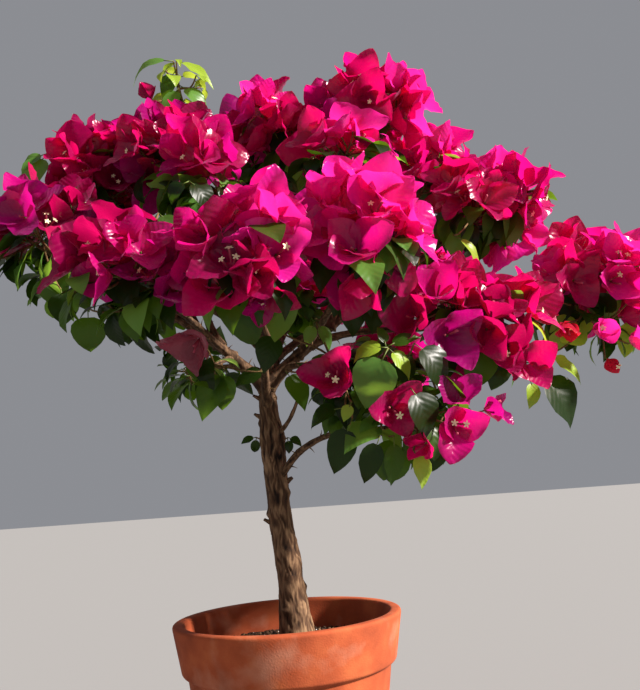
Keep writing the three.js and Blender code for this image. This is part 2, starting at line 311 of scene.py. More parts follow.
# Each kind of growth has series of its own: the first seed, and the step to the next one's.
SEEDS = {
    "twigs": (7001, 31),
    "sprays": (90001, 97),
    "chosen sets": (333, 1),
    "leaves": (50021, 61),
    "sprout leaves": (808, 17),
    "chosen leaves": (4242, 0),
}
# A phase or turn that may be anything is a share of this, in radians.
ANY_TURN = 6.3


def series_for(kind, number=0):
    first, step = SEEDS[kind]
    return seeded(first + number * step)


# %% [markdown]
# ## Lines that limbs follow
# A limb is a line in space with a thickness along it. The trunk's line passes through a few
# measured points, and a bough's line is a Bezier curve, as if drawn with the pen tool. Each line
# is measured in many short steps, so that it can be asked for the point at a share of its length.

# %% Lines
STEPS = 200
EITHER_SIDE = 0.002


class Line:
    """A curve that can be asked for its point or direction at a share of its length."""

    def __init__(self, curve):
        self.samples = [curve(i / STEPS) for i in range(STEPS + 1)]
        self.lengths = [0.0]
        for a, b in zip(self.samples, self.samples[1:]):
            self.lengths.append(self.lengths[-1] + (b - a).length)
        self.length = self.lengths[-1]

    def at(self, share):
        goal = share * self.length
        low, high = 0, STEPS
        while high - low > 1:
            middle = (low + high) // 2
            if self.lengths[middle] <= goal:
                low = middle
            else:
                high = middle
        gap = self.lengths[high] - self.lengths[low]
        part = (goal - self.lengths[low]) / gap if gap > 0 else 0.0
        return self.samples[low].lerp(self.samples[high], part)

    def way(self, share):
        before, after = max(0.0, share - EITHER_SIDE), min(1.0, share + EITHER_SIDE)
        return (self.at(after) - self.at(before)).normalized()


def bezier(*pulls):
    """A Bezier curve of any number of points, by halving between neighbours."""

    def curve(t):
        row = list(pulls)
        while len(row) > 1:
            row = [a.lerp(b, t) for a, b in zip(row, row[1:])]
        return row[0]

    return Line(curve)


def through(points):
    """A smooth curve through points: centripetal Catmull-Rom, which never loops back."""
    ends = [points[0] * 2 - points[1]] + points + [points[-1] * 2 - points[-2]]

    def curve(t):
        place = t * (len(points) - 1)
        i = min(int(place), len(points) - 2)
        t = place - i
        a, b, c, d = ends[i : i + 4]
        gaps = [math.sqrt((q - p).length) for p, q in ((a, b), (b, c), (c, d))]
        leave = (b - a) / gaps[0] - (c - a) / (gaps[0] + gaps[1]) + (c - b) / gaps[1]
        arrive = (c - b) / gaps[1] - (d - b) / (gaps[1] + gaps[2]) + (d - c) / gaps[2]
        leave, arrive = leave * gaps[1], arrive * gaps[1]
        square, cube = t * t, t * t * t
        bend = (c - b) * 3 - leave * 2 - arrive
        return b + leave * t + bend * square + ((b - c) * 2 + leave + arrive) * cube

    return Line(curve)


# %% [markdown]
# ## The trunk and boughs as lines
# These are the sizes that the solids were built from, so a dressed limb lies exactly where its
# solid lies. A bough leaves its parent partly in the parent's own direction, as a real one does
# after years of growing side by side, and then bends towards its own mass of foliage.

# %% Trunk line
GROUND = 180.0
TRUNK_ROWS = [
    ((9, 0, 180.3), 12.6),
    ((5, 0, 248), 12.2),
    ((-1, 0, 300), 11.2),
    ((-3, 0, 340), 11.6),
    ((-5, 0, 384), 13.0),
    ((-7, 0, 412), 10.4),
    ((-8, 0, 438), 8.0),
]
FLARE = 6.0
FLARE_HEIGHT = 24.0
TRUNK_LINE = through([Vector(at) for at, _ in TRUNK_ROWS])


def trunk_radius(share):
    z = TRUNK_LINE.at(share).z
    rows = [(at[2], radius) for at, radius in TRUNK_ROWS]
    upper = next((i for i, row in enumerate(rows) if row[0] >= z - 1e-6), len(rows) - 1)
    upper = max(1, upper)
    (z0, r0), (z1, r1) = rows[upper - 1], rows[upper]
    flare = FLARE * math.exp((GROUND - z) / FLARE_HEIGHT)
    return r0 + (r1 - r0) * smooth_share(z, z0, z1) + flare


print("trunk:", round(TRUNK_LINE.length), "mm long")

# %% Masses
# Each row: name, middle, half sizes, the limb that its bough leaves and where along it, the bough's
# thickness there, shoots, the share of them that flower, how large its leaves are where they are
# young, how much of its parent's direction its bough keeps, the share of its finer twigs that
# flower, and how full of leaves it is.
MASS_ROWS = """
far_left       -222  -60 592   94 88 84   trunk 1           6.8 7 0.6  1   0.3   0.45 0.7
right_upper     248    0 620   92 84 68   trunk 1           6.8 7 0.8  1   0.15  0.95 0.15
top_middle       16   20 730   82 82 78   trunk 0.8         4.8 7 1    1   0.62  0.85 0.35
back_middle      22  200 582   96 86 84   trunk 0.95        5.8 7 0.7  1   0.62  0.6  0.8
low_right       130 -114 394   80 76 68   trunk 0.58        3.8 7 0.5  1   1.4   0    0.4
front_middle     -4 -198 516   76 76 72   trunk 0.9         5   7 0.8  1   0.62  1    0.12
upper_left     -200   42 708   84 80 76   far_left 0.55     4.4 6 0.7  1   0.62  1    0.1
top_left        -99  -14 706   84 80 72   far_left 0.3      4.6 7 0.9  1   0.62  0.95 0.2
top_shoot       -94   30 822   46 42 44   far_left 0.42     3   4 0    0.6 0.62  0    0
front_left     -104 -168 514   90 82 64   far_left 0.22     4.4 7 0.7  1   0.62  0.42 0.7
inner_left      -72  -66 450   46 48 50   far_left 0.2      2.9 4 0.25 0.8 0.62  0    0
top_right       121    0 730   86 84 80   right_upper 0.35  4.8 7 0.9  1   0.62  0.72 0.35
right_shoulder  190   44 682   74 78 64   right_upper 0.68  3.8 5 0.8  1   0.62  0.9  0.25
far_right       344  -20 510  106 88 84   right_upper 0.5   4.4 8 0.7  1   0.62  0.7  0.45
right_low       206  -84 474   88 80 74   right_upper 0.25  4.4 7 0.6  1   0.62  0.65 0.5
front_right     100 -180 532   80 76 66   right_upper 0.18  4.2 7 0.8  1   0.62  0.8  0.35
low_middle       80 -106 424   68 68 62   right_upper 0.1   3.4 5 0.4  1   0.62  0    0.5
heart_left      -50  -80 630   82 74 72   top_middle 0.3    3.8 6 0.6  1   0.62  0.25 1
heart_right      86  -80 642   82 74 72   top_right 0.3     3.8 6 0.6  1   0.62  0.2  1
back_left      -148  150 616   98 90 86   back_middle 0.25  4.6 7 0.7  1   0.62  0.7  0.85
back_right      188  150 594  100 92 86   back_middle 0.3   4.6 7 0.7  1   0.62  0.7  0.85
back_top         42  126 706   92 78 78   top_middle 0.5    4   6 0.9  1   0.62  0.95 0.75
back_low_left   -96  104 490   78 74 68   back_middle 0.15  3.6 5 0.4  1   0.62  0    0.35
back_low_right  130   94 464   80 74 68   back_middle 0.2   3.6 5 0.4  1   0.62  0.15 0.6
"""


class Mass:
    """One mass of the crown: its space, the limb that its bough leaves, and how it flowers."""

    def __init__(self, row):
        self.name, *numbers = row.split()
        x, y, z, hx, hy, hz = (float(n) for n in numbers[:6])
        self.parent = numbers[6]
        self.along, self.thickness = float(numbers[7]), float(numbers[8])
        self.shoots = int(numbers[9])
        self.bloom, self.young, self.fork = (float(n) for n in numbers[10:13])
        self.flowers, self.leafy = (float(n) for n in numbers[13:15])
        self.middle = Vector((x, y, z))
        self.half = Vector((hx, hy, hz))
        self.reach = (hx + hy + hz) / 3

    def inside(self, way, share):
        """The point a share of the way from the middle to the edge of the mass's space."""
        return self.middle + Vector([way[i] * self.half[i] for i in range(3)]) * share


MASSES = [Mass(row) for row in MASS_ROWS.strip().splitlines()]
print("masses of foliage:", len(MASSES))

# %% Lines of the boughs
CROWN_HEART = Vector((45, 0, 500))
BOUGH_TIP_RADIUS = 2.4
BOUGH_END = 0.62
LEAVING = 0.4
ARRIVING = 0.3
TAPER = 0.8
SPINE_STEPS = 24


class Limb:
    """A line with a radius along it. Its spine is a few of its points, each with its radius."""

    def __init__(self, line, radius):
        self.line = line
        self.radius = radius
        shares = [i / SPINE_STEPS for i in range(SPINE_STEPS + 1)]
        self.spine = [(line.at(share), radius(share)) for share in shares]


def bough_for(mass, parent):
    start = parent.line.at(mass.along)
    tip = (start - mass.middle).normalized() * (BOUGH_END * mass.reach) + mass.middle
    span = (tip - start).length
    straight = (tip - start).normalized()
    leave = (parent.line.way(mass.along) * mass.fork + straight).normalized()
    arrive = ((mass.middle - CROWN_HEART).normalized() + straight).normalized()
    line = bezier(start, start + leave * span * LEAVING, tip - arrive * span * ARRIVING, tip)
    thick = mass.thickness
    return Limb(line, lambda t: thick + (BOUGH_TIP_RADIUS - thick) * t**TAPER)


LIMBS = {"trunk": Limb(TRUNK_LINE, trunk_radius)}
for mass in MASSES:
    LIMBS[mass.name] = bough_for(mass, LIMBS[mass.parent])
print("boughs:", len(LIMBS) - 1)

# %% [markdown]
# ## Bark
# An old bougainvillea's bark is fibrous and flakes in long strips, with knots where thorns and
# shoots were. It could be faked with a bump alone, but the trunk's outline is close to the eye, so
# the ridges are real: each limb is a fine tube whose radius follows noise that is stretched along
# it. The depth of each point is kept as a number, and the bark's colour reads it: dark furrows,
# paler ridges.

# %% Tubes
# A point's mark is 0 in a furrow and 1 on a ridge. A plain tube has the middle one all over.
MIDDLE_MARK = 0.5


def steady_frames(line, rings):
    """The point and two side directions of each ring. They don't spin about the line."""
    side = line.way(0).orthogonal().normalized()
    frames = []
    for i in range(rings + 1):
        way = line.way(i / rings)
        side = (side - way * side.dot(way)).normalized()
        frames.append((line.at(i / rings), side, way.cross(side)))
    return frames


def ring_faces(rings, sides, first=0):
    """The faces between rings of points, whose numbers start at first."""
    faces = []
    for i in range(rings):
        for j in range(sides):
            a, b = first + i * sides + j, first + i * sides + (j + 1) % sides
            faces.append((a, b, b + sides, a + sides))
    return faces


def closed_tube(rings, sides):
    """The faces of a tube with a flat end at its root and at its tip."""
    root_end = tuple(range(sides - 1, -1, -1))
    tip_end = tuple(rings * sides + j for j in range(sides))
    return ring_faces(rings, sides) + [root_end, tip_end]


def tube(heap, line, radius_from, radius_to, sides, rings):
    """A plain tapering tube."""
    points = []
    for i, (at, side, over) in enumerate(steady_frames(line, rings)):
        radius = radius_from + (radius_to - radius_from) * i / rings
        points += [at + swing(side, over, turn) * radius for turn in turns(sides)]
    heap.add(points, closed_tube(rings, sides), [MIDDLE_MARK] * len(points))


# %% Relief of bark
# Each pattern of noise: how fine it is round the limb, and its length along the limb.
RIDGES = (3.0, 26.0)
PLATES = (2.2, 14.0)
FIBRES = (8.0, 10.0)
WARP = (1.6, 17.0)
WAVES = (1.0, 50.0)
RIDGE_SHARPNESS = 3.2
WARP_TURN = 0.5
SPIRAL_LENGTH = 210.0
SEED_SHIFT = 7.3
PLATE_SHIFT = 40.0
# Heights are shares of the limb's radius.
RIDGE_HEIGHT = 0.1
WAVE_HEIGHT = 0.07
SWELL_HEIGHT = 0.12
SWELL_LENGTH = 34.0
KNOT_HEIGHT = 0.2
KNOT_EVERY = 19.0
KNOT_WIDTH = 4.2
COLLAR_REACH = 2.2
LEAST_RINGS = 6


def bark_noise(pattern, turn, along, shift):
    """Noise on a limb's skin. It is read round a circle, so that it has no seam."""
    spread, length = pattern
    return noise.noise(Vector((math.cos(turn) * spread + shift, math.sin(turn) * spread, along / length)))


def bark_height(turn, along, seed):
    """How far the bark stands out, from about -1 to 1, at a turn round the limb and a length."""
    shift = seed * SEED_SHIFT
    turn = turn + along / SPIRAL_LENGTH + WARP_TURN * bark_noise(WARP, turn, along, shift)
    ridge = 1 - RIDGE_SHARPNESS * abs(bark_noise(RIDGES, turn, along, shift))
    plate = bark_noise(PLATES, turn, along, shift + PLATE_SHIFT)
    fibre = bark_noise(FIBRES, turn, along, shift)
    return 0.5 * ridge + 0.3 * plate + 0.4 * fibre


def knots_on(limb, seed):
    """Where old thorns and shoots left a knot: length along the limb and turn about it."""
    count = int(limb.line.length / KNOT_EVERY)
    return [(KNOT_EVERY * (k + 0.6), (k + seed) * GOLDEN_ANGLE) for k in range(count)]


def knot_height(knots, turn, along, radius):
    height = 0.0
    for knot_along, knot_turn in knots:
        off = along - knot_along
        if abs(off) < 3 * KNOT_WIDTH:
            apart = 2 * radius * math.sin((turn - knot_turn) / 2)
            height += math.exp(-(off * off + apart * apart) / KNOT_WIDTH**2)
    return height


def bark_tube(heap, limb, sides, ring_every, seed, collar=0.0, depth=RIDGE_HEIGHT):
    """A limb's skin. collar is how much it swells where it leaves its parent."""
    rings = max(LEAST_RINGS, round(limb.line.length / ring_every))
    knots = knots_on(limb, seed)
    points, marks = [], []
    for i, (at, side, over) in enumerate(steady_frames(limb.line, rings)):
        share = i / rings
        along = share * limb.line.length
        radius = limb.radius(share)
        swell = 1 + SWELL_HEIGHT * noise.noise(Vector((along / SWELL_LENGTH, seed, 0.5)))
        swell += collar * math.exp(-along / (COLLAR_REACH * radius))
        for turn in turns(sides):
            height = bark_height(turn, along, seed)
            wave = WAVE_HEIGHT * bark_noise(WAVES, turn, along, seed)
            knot = KNOT_HEIGHT * knot_height(knots, turn, along, radius)
            points.append(at + swing(side, over, turn) * (radius * (swell + wave + knot + depth * height)))
            marks.append(MIDDLE_MARK * (1 + height))
    heap.add(points, closed_tube(rings, sides), marks)


# %% Bark material
# Weathered bark, grown and never dressed: it scatters light with hardly any gloss, so its colour
# and the shadows in its furrows are nearly all that the eye gets.
FLAKE_MM = 2.8
FIBRE_STRETCH = 0.25
BARK_ROUGHNESS = (0.78, 0.98)
BARK_BUMP_MM = 0.6


def rough_bark(name, dark, middle, pale):
    """Bark with dark furrows and pale ridges, which its relief and a noise of flakes tell apart."""
    bark, tree, shader = new_material(name)
    place = add_node(tree, "TexCoord").outputs["Object"]
    relief = add_node(tree, "Attribute", attribute_name="relief").outputs["Fac"]
    fibres = add_node(tree, "Mapping", {"Vector": place, "Scale": (1.0, 1.0, FIBRE_STRETCH)})
    size = {"Vector": fibres.outputs[0], "Scale": 1 / (FLAKE_MM * MM), "Detail": 6.0}
    flakes = add_node(tree, "TexNoise", size).outputs["Fac"]
    mixed = add_node(tree, "Math", {0: relief, 1: flakes}, operation="ADD")
    halved = add_node(tree, "Math", {0: mixed.outputs[0], 1: 0.5}, operation="MULTIPLY")
    stops = [(0.3, dark), (0.5, middle), (0.72, pale)]
    colours = add_node(tree, "ValToRGB", {"Fac": halved.outputs[0]}, stops)
    roughen(shader, flakes, flakes, BARK_ROUGHNESS, 0.6, BARK_BUMP_MM)
    set_inputs(shader, {"Base Color": colours.outputs["Color"], "IOR": 1.45, "Specular IOR Level": 0.25})
    return bark


TRUNK_BARK = rough_bark("weathered fibrous bark", "#1c110b", "#533c2a", "#8e7154")
# The boughs' bark is the trunk's made darker: painted shade, as under the crown.
BOUGH_BARK_PAINTED_SHADE = rough_bark("bough bark darkened as painted shade", "#160d08", "#43301f", "#7a5f46")
TWIG_BARK = rough_bark("young ribbed bark", "#3a2a1a", "#6a5334", "#8c7a4c")

# %% Trunk
TRUNK_SIDES = 80
TRUNK_RING_MM = 1.2
TRUNK_SEED = 3
ABOVE_GROUND = 0.3
STUBS = [
    # share of the trunk's length, turn about it in degrees, length and radius
    (0.44, 195, 8, 2.6),
    (0.60, 350, 6, 3.0),
    (0.87, 180, 6, 2.4),
    (0.945, 190, 7, 2.0),
    (0.30, 100, 7, 2.8),
    (0.72, 65, 8, 2.6),
]
STUB_SEED = 40
SPROUTS = [
    # share of the trunk's length, turn about it in degrees, length, thickness and steepness
    (0.80, 325, 66, 2.3, 3.2),
    (0.775, 186, 5, 1.1, 0.5),
    (0.765, 338, 5, 1.1, 0.3),
]
SPROUT_SEED = 60


def side_shoot(share, degrees, length, steepness):
    """The line of a small shoot that leaves the trunk at a turn, sunk into it at its root."""
    radius = trunk_radius(share)
    out = on_ring(1, math.radians(degrees), 0)
    root = TRUNK_LINE.at(share) + out * (radius * 0.55)
    knee = root + (out + UP * 0.4).normalized() * (radius * 0.5 + length * 0.3)
    return bezier(root, knee, knee + (out + UP * steepness).normalized() * length * 0.7)


def stub_on(heap, share, degrees, length, radius, seed):
    """A short peg where a shoot was pruned, narrowing to a broken end."""
    peg = Limb(side_shoot(share, degrees, length, 0.7), lambda t: radius * (1.3 - 0.75 * t))
    bark_tube(heap, peg, 12, 1.2, seed, collar=0.35, depth=0.25)


def sprout_on(heap, share, degrees, length, radius, steepness, seed):
    """A small live shoot on the trunk. Its line is kept, because it carries leaves."""
    line = side_shoot(share, degrees, length, steepness)
    bark_tube(heap, Limb(line, lambda t: radius * (1 - 0.45 * t)), 10, 1.6, seed, collar=0.4)
    SPROUT_LINES.append(line)


SPROUT_LINES = []
trunk_heap = Heap()
bark_tube(trunk_heap, LIMBS["trunk"], TRUNK_SIDES, TRUNK_RING_MM, TRUNK_SEED)
for number, stub in enumerate(STUBS):
    stub_on(trunk_heap, *stub, STUB_SEED + number)
for number, sprout in enumerate(SPROUTS):
    sprout_on(trunk_heap, *sprout, SPROUT_SEED + number)
for p in trunk_heap.points:
    p.z = max(p.z, GROUND + ABOVE_GROUND)
make_piece("trunk_bark", trunk_heap, TRUNK_BARK, ["trunk"])

# %% Boughs
BOUGH_SIDES = 18
BOUGH_RING_MM = 2.4
BOUGH_COLLAR = 0.75
bough_heap = Heap()
for number, mass in enumerate(MASSES):
    bark_tube(bough_heap, LIMBS[mass.name], BOUGH_SIDES, BOUGH_RING_MM, number, BOUGH_COLLAR)
BOUGH_NODES = [mass.name + "_bough" for mass in MASSES]
make_piece("bough_bark", bough_heap, BOUGH_BARK_PAINTED_SHADE, BOUGH_NODES)

# %% Thorns
# A thorn stands above each old leaf's place, all along the limbs, and curves back a little.
THORN_MM = 7.5
THORN_RADIUS = 0.95
THORN_POINT_RADIUS = 0.12
THORN_EVERY = 17.0
LAST_THORN = 0.97


def thorn(heap, line, share, turn, limb_radius, size):
    way = line.way(share)
    out = spoke(way, turn)
    half = 0.5 * THORN_MM * size
    root = line.at(share) + out * limb_radius * 0.6
    middle = root + (out + way * 0.5).normalized() * (0.4 * limb_radius + half)
    point = middle + (out - way * 0.15).normalized() * half
    tube(heap, bezier(root, middle, point), THORN_RADIUS * size, THORN_POINT_RADIUS, 5, 4)


def thorns_along(heap, line, radius, seed, size):
    for k in range(int(line.length / THORN_EVERY)):
        share = (k + 0.7) * THORN_EVERY / line.length
        if share < LAST_THORN:
            thorn(heap, line, share, (k + seed) * GOLDEN_ANGLE, radius(share), size)


# %% [markdown]
# ## Where each mass may grow
# Each mass of the crown keeps to its own rounded space and to its own side of the plane between
# it and each neighbour, and nothing grows through a limb. The solids were grown by the same rule.

# %% Space
CELL_GAP = 0.6
LIMB_CLEARANCE = 0.8


def in_own_space(mass, p, margin):
    d = p - mass.middle
    share = sum((d[i] / (mass.half[i] - margin)) ** 2 for i in range(3))
    if share > 1:
        return False
    own = d.length_squared - mass.reach**2
    for other in MASSES:
        if other is mass:
            continue
        theirs = (p - other.middle).length_squared - other.reach**2
        if theirs - own <= 2 * (CELL_GAP + margin) * (other.middle - mass.middle).length:
            return False
    return True


def clear_of_limbs(p, margin, limbs):
    for limb in limbs:
        for at, radius in limb.spine:
            if (p - at).length <= radius + margin + LIMB_CLEARANCE:
                return False
    return True


def fits(mass, p, margin, limb_margin, limbs):
    """Whether a point may be grown to: each margin is how much room it needs about it."""
    return in_own_space(mass, p, margin) and clear_of_limbs(p, limb_margin, limbs)


# %% [markdown]
# ## Stems, shoots and twigs
# Every mass has one stem that carries on from its bough, and shoots that run from the stem to
# points spread evenly over its space by the golden angle. Real shoots branch again, so the same
# rule is carried one step further here: more points are spread through the space, and a twig
# grows to each from the nearest shoot, leaving it at a slant.

# %% Stems and shoots
GAP = 0.3
STEM_END = 0.2
STEM_BEND = 0.45
BACKWARD = -0.72
LEAF_ROOM = 33.0
BRACT_ROOM = 39.6
LEAST_REACH = 0.25
TESTED_SHARES = (0.35, 0.6, 0.85, 1)
SHOOT_MARGIN = 2


def spread_ways(count, phase):
    """Directions spread evenly over a ball, one golden angle after another."""
    ways = []
    for number in range(count):
        z = 1 - 2 * (number + 0.5) / count
        ways.append(on_ring(math.sqrt(1 - z * z), number * GOLDEN_ANGLE + phase, z))
    return ways


def stem_for(mass):
    bough = LIMBS[mass.name].line
    way = bough.way(1)
    root = bough.at(1) + way * GAP
    mass.outward = (mass.middle - CROWN_HEART).normalized()
    end = mass.middle + mass.outward * STEM_END * mass.reach
    mass.stem = bezier(root, root + way * STEM_BEND * (end - root).length, end)
    mass.stem_way = (end - root).normalized()


def shoots_for(mass, index):
    """The solid's own shoots: their ends, and where on the stem they leave it."""
    sunny = (mass.outward + UP * 0.7).normalized()
    ways = enumerate(spread_ways(mass.shoots, index))
    kept = [pair for pair in ways if pair[1].dot(mass.stem_way) > BACKWARD]
    kept.sort(key=lambda pair: -pair[1].dot(sunny))
    blooming = {number for number, _ in kept[: round(mass.bloom * mass.shoots)]}
    kept.sort(key=lambda pair: pair[1].dot(mass.stem_way))
    others = [limb for name, limb in LIMBS.items() if name != mass.name]
    mass.lines = []
    for rank, (number, way) in enumerate(kept):
        room = (BRACT_ROOM if number in blooming else LEAF_ROOM) * mass.young
        end = mass.inside(way, max(LEAST_REACH, 1 - room / mass.reach))
        start = mass.stem.at(0.2 + 0.75 * (rank + 0.5) / len(kept))
        spots = [start.lerp(end, t) for t in TESTED_SHARES]
        if all(fits(mass, p, SHOOT_MARGIN, SHOOT_MARGIN, others) for p in spots):
            mass.lines.append(arched(start, end, mass.stem.way(0.5), 0.1))


def arched(start, end, lean, sag):
    """A shoot leaves partly in its parent's direction, then turns up a little at its tip."""
    span = (end - start).length
    straight = (end - start).normalized()
    leave = (straight + lean * 0.5).normalized()
    arrive = (straight + UP * 0.35).normalized()
    return bezier(
        start,
        start + leave * span * 0.35 - UP * sag * span * 0.5,
        end - arrive * span * 0.3 - UP * sag * span * 0.2,
        end,
    )


for index, mass in enumerate(MASSES):
    stem_for(mass)
    shoots_for(mass, index)
print("shoots:", sum(len(mass.lines) for mass in MASSES))

# %% Sets of bracts that stand apart
# These sit on thin twigs of their own. Each row: the mass, where the set sits, the way it faces,
# its tone, its size and how far it is open.
# Their wine and purple tones are painted shade, and their hot tones painted sunlight.
CHOSEN_SETS = [
    ("inner_left", (-60, -98, 476), (-0.45, -0.5, -0.7), "faded", 0.95, 0.8),
    ("low_middle", (66, -132, 419), (-0.2, -0.8, 0.2), "crimson", 0.95, 0.7),
    ("low_middle", (108, -158, 390), (0.15, -0.8, -0.15), "crimson", 0.82, 0.75),
    ("low_right", (160, -158, 372), (0.1, -0.8, -0.2), "magenta", 0.84, 0.8),
    ("low_right", (138, -156, 358), (-0.7, -0.6, -0.2), "crimson", 0.62, 0.6),
    ("low_right", (168, -148, 388), (-0.15, -0.7, 0.6), "purple", 0.8, 0.65),
    ("low_right", (187, -144, 382), (0.85, -0.45, 0.1), "purple", 0.62, 0.5),
    ("far_right", (291, -62, 498), (-0.3, -0.6, -0.3), "young", 0.5, 0.3),
    ("far_right", (300, -64, 472), (-0.2, -0.5, -0.6), "young", 0.6, 0.35),
    ("far_right", (329, -64, 452), (0.1, -0.6, 0.2), "hot", 0.7, 0.4),
    ("far_right", (335, -56, 434), (0.2, -0.5, -0.7), "young", 0.42, 0.3),
    ("far_right", (360, -56, 446), (0.3, -0.6, 0.1), "hot", 0.66, 0.5),
    ("far_right", (392, -30, 452), (0.6, -0.3, -0.4), "young", 0.5, 0.3),
    ("right_low", (141, -136, 470), (-0.4, -0.8, -0.1), "wine", 0.9, 0.7),
    ("right_low", (165, -138, 452), (0.1, -0.85, -0.2), "purple", 0.95, 0.75),
    ("right_low", (161, -132, 486), (-0.1, -0.8, 0.4), "magenta", 0.9, 0.6),
    ("right_low", (244, -98, 428), (0.2, -0.8, -0.1), "crimson", 0.8, 0.7),
    ("right_low", (222, -108, 444), (-0.2, -0.8, -0.2), "wine", 0.75, 0.7),
    ("right_low", (252, -66, 480), (0.1, -0.6, 0.6), "hot", 0.62, 0.5),
    ("right_low", (268, -60, 474), (0.5, -0.5, 0.3), "young", 0.6, 0.45),
    ("top_shoot", (-124, 14, 790), (-0.45, -0.1, 0.85), "wine", 0.66, 0.05),
]
print("sets that stand apart:", len(CHOSEN_SETS))

# %% Leaves that stand apart
# Each row: the mass, where the leaves leave their twig, the tone, the width as a share of the
# length, and the points of the leaves.
# Their dark tone is painted shade and their bright tone painted light, as for the other leaves.
CHOSEN_LEAVES = [
    ("low_middle", (110, -165, 439), "bright", 0.74, [(83, -177, 393)]),
    ("low_middle", (110, -163, 440), "young", 0.55, [(75, -166, 444), (133, -166, 416)]),
    ("low_middle", (109, -160, 441), "middle", 0.5, [(136, -164, 452), (106, -160, 462)]),
    ("low_right", (133, -164, 442), "dark", 0.72, [(168, -173, 408)]),
    ("low_right", (124, -174, 404), "dark", 0.62, [(147, -186, 363)]),
    ("low_right", (98, -146, 366), "dark", 0.42, [(77, -151, 325)]),
    ("low_right", (110, -148, 366), "middle", 0.4, [(107, -152, 325)]),
    ("low_right", (124, -160, 352), "young", 0.6, [(139, -164, 320)]),
    ("low_middle", (70, -140, 394), "dark", 0.52, [(31, -140, 390)]),
    ("low_middle", (76, -152, 397), "young", 0.6, [(67, -154, 382)]),
    ("low_middle", (76, -138, 384), "dark", 0.48, [(54, -138, 338)]),
    ("low_middle", (12, -110, 476), "dark", 0.68, [(-2, -116, 438)]),
    ("low_middle", (18, -100, 437), "middle", 0.6, [(42, -104, 403)]),
    ("low_middle", (50, -110, 480), "bright", 0.5, [(67, -114, 454), (38, -108, 458)]),
    ("front_left", (-78, -184, 568), "middle", 0.6, [(-98, -190, 542), (-56, -190, 546)]),
    ("heart_left", (-60, -130, 620), "dark", 0.66, [(-32, -138, 596), (-84, -138, 606)]),
    ("front_right", (82, -134, 503), "dark", 0.7, [(86, -140, 462), (62, -134, 480)]),
    ("front_right", (106, -134, 503), "dark", 0.7, [(104, -142, 460), (130, -138, 470)]),
    ("front_right", (124, -150, 545), "dark", 0.66, [(152, -156, 512), (170, -150, 535)]),
    ("right_low", (266, -66, 424), "dark", 0.82, [(302, -70, 374)]),
    ("far_right", (277, -66, 440), "young", 0.56, [(312, -68, 415)]),
    ("right_low", (254, -70, 416), "young", 0.5, [(257, -78, 386)]),
    ("right_upper", (198, -58, 572), "young", 0.3, [(238, -64, 540)]),
    ("far_right", (330, -50, 474), "young", 0.5, [(352, -58, 456), (312, -60, 462)]),
    ("upper_left", (-246, 8, 730), "bright", 0.6, [(-282, -2, 714), (-270, -8, 690)]),
    ("top_left", (-76, -64, 652), "middle", 0.5, [(-118, -74, 630), (-122, -66, 668)]),
    ("front_left", (-163, -112, 508), "middle", 0.8, [(-160, -118, 466)]),
    ("front_left", (-134, -120, 512), "dark", 0.8, [(-108, -128, 473)]),
    ("far_left", (-190, -108, 530), "dark", 0.75, [(-180, -116, 494)]),
    ("inner_left", (-40, -70, 450), "middle", 0.5, [(-71, -84, 405), (-46, -82, 406)]),
    ("inner_left", (-2, -66, 444), "dark", 0.6, [(-35, -72, 436)]),
    ("top_shoot", (-101, 29, 850), "bright", 0.32, [(-160, 18, 852)]),
    ("top_shoot", (-97, 28, 850), "young", 0.3, [(-48, 16, 822), (-88, 8, 842)]),
    ("top_shoot", (-98, 27, 836), "middle", 0.5, [(-114, 12, 800)]),
    ("top_shoot", (-94, 28, 816), "bright", 0.44, [(-50, 16, 782), (-112, 12, 774)]),
]
print("twigs with leaves that stand apart:", len(CHOSEN_LEAVES))

# %% Twigs
TWIGS_EACH = 3.4
SHELL = (1.0, 0.68, 0.92, 0.8, 0.54)
TIP_ROOM = 40.0
LEAST_TWIG = 14.0
SLANT = 0.9
FORKS = (0.3, 0.4, 0.5, 0.6, 0.7, 0.8, 0.9)
CHOSEN_SAG = 0.04
TWIG_SAG = 0.06
JITTER = 16
LIMB_MARGIN = 6


class Tip:
    """The end of a twig: its line, its mass, and whether it flowers."""

    def __init__(self, mass, line, chosen=None):
        self.mass = mass
        self.chosen = chosen
        self.line = line
        self.at = line.at(1)
        self.way = line.way(1)
        self.blooms = False
        self.outward = ((self.at - CROWN_HEART).normalized() + UP * 0.35).normalized()


def best_fork(mass, goal):
    """Where on the mass's stem and shoots a twig to goal is shortest and least turned back."""
    forks = []
    for line in [mass.stem] + mass.shoot_lines:
        for root, way in [(line.at(t), line.way(t)) for t in FORKS]:
            span = (goal - root).length
            if span >= LEAST_TWIG:
                turned = 1 - way.dot((goal - root) / span)
                forks.append((span * (1 + SLANT * turned), root, way))
    return min(forks, key=lambda fork: fork[0])[1:] if forks else None


def twig_to(mass, goal, sag):
    """Grows a twig that ends at goal. Gives its line, or None where every fork is too near."""
    fork = best_fork(mass, goal)
    if fork is None:
        return None
    root, way = fork
    mass.lines.append(arched(root, goal, way, sag))
    return mass.lines[-1]


def twigs_for(mass, index):
    """Grows the twigs with chosen ends, and then those that fill the mass."""
    mass.shoot_lines = list(mass.lines)
    mass.tips = [Tip(mass, line) for line in mass.lines]
    for name, at, *looks in CHOSEN_SETS:
        if name == mass.name:
            mass.tips.append(Tip(mass, twig_to(mass, Vector(at), CHOSEN_SAG), looks))
    for name, at, *_ in CHOSEN_LEAVES:
        if name == mass.name:
            twig_to(mass, Vector(at), CHOSEN_SAG)
    count = round(mass.shoots * TWIGS_EACH * (0.25 + 0.75 * max(mass.flowers, mass.leafy)))
    random = series_for("twigs", index)
    for number, way in enumerate(spread_ways(count, index + 1.7)):
        share = SHELL[number % len(SHELL)] * (1 - TIP_ROOM * mass.young / mass.reach)
        goal = mass.inside(way, share) + scatter(random) * JITTER
        if fits(mass, goal, SHOOT_MARGIN, LIMB_MARGIN, LIMBS.values()):
            line = twig_to(mass, goal, TWIG_SAG)
            if line:
                mass.tips.append(Tip(mass, line))


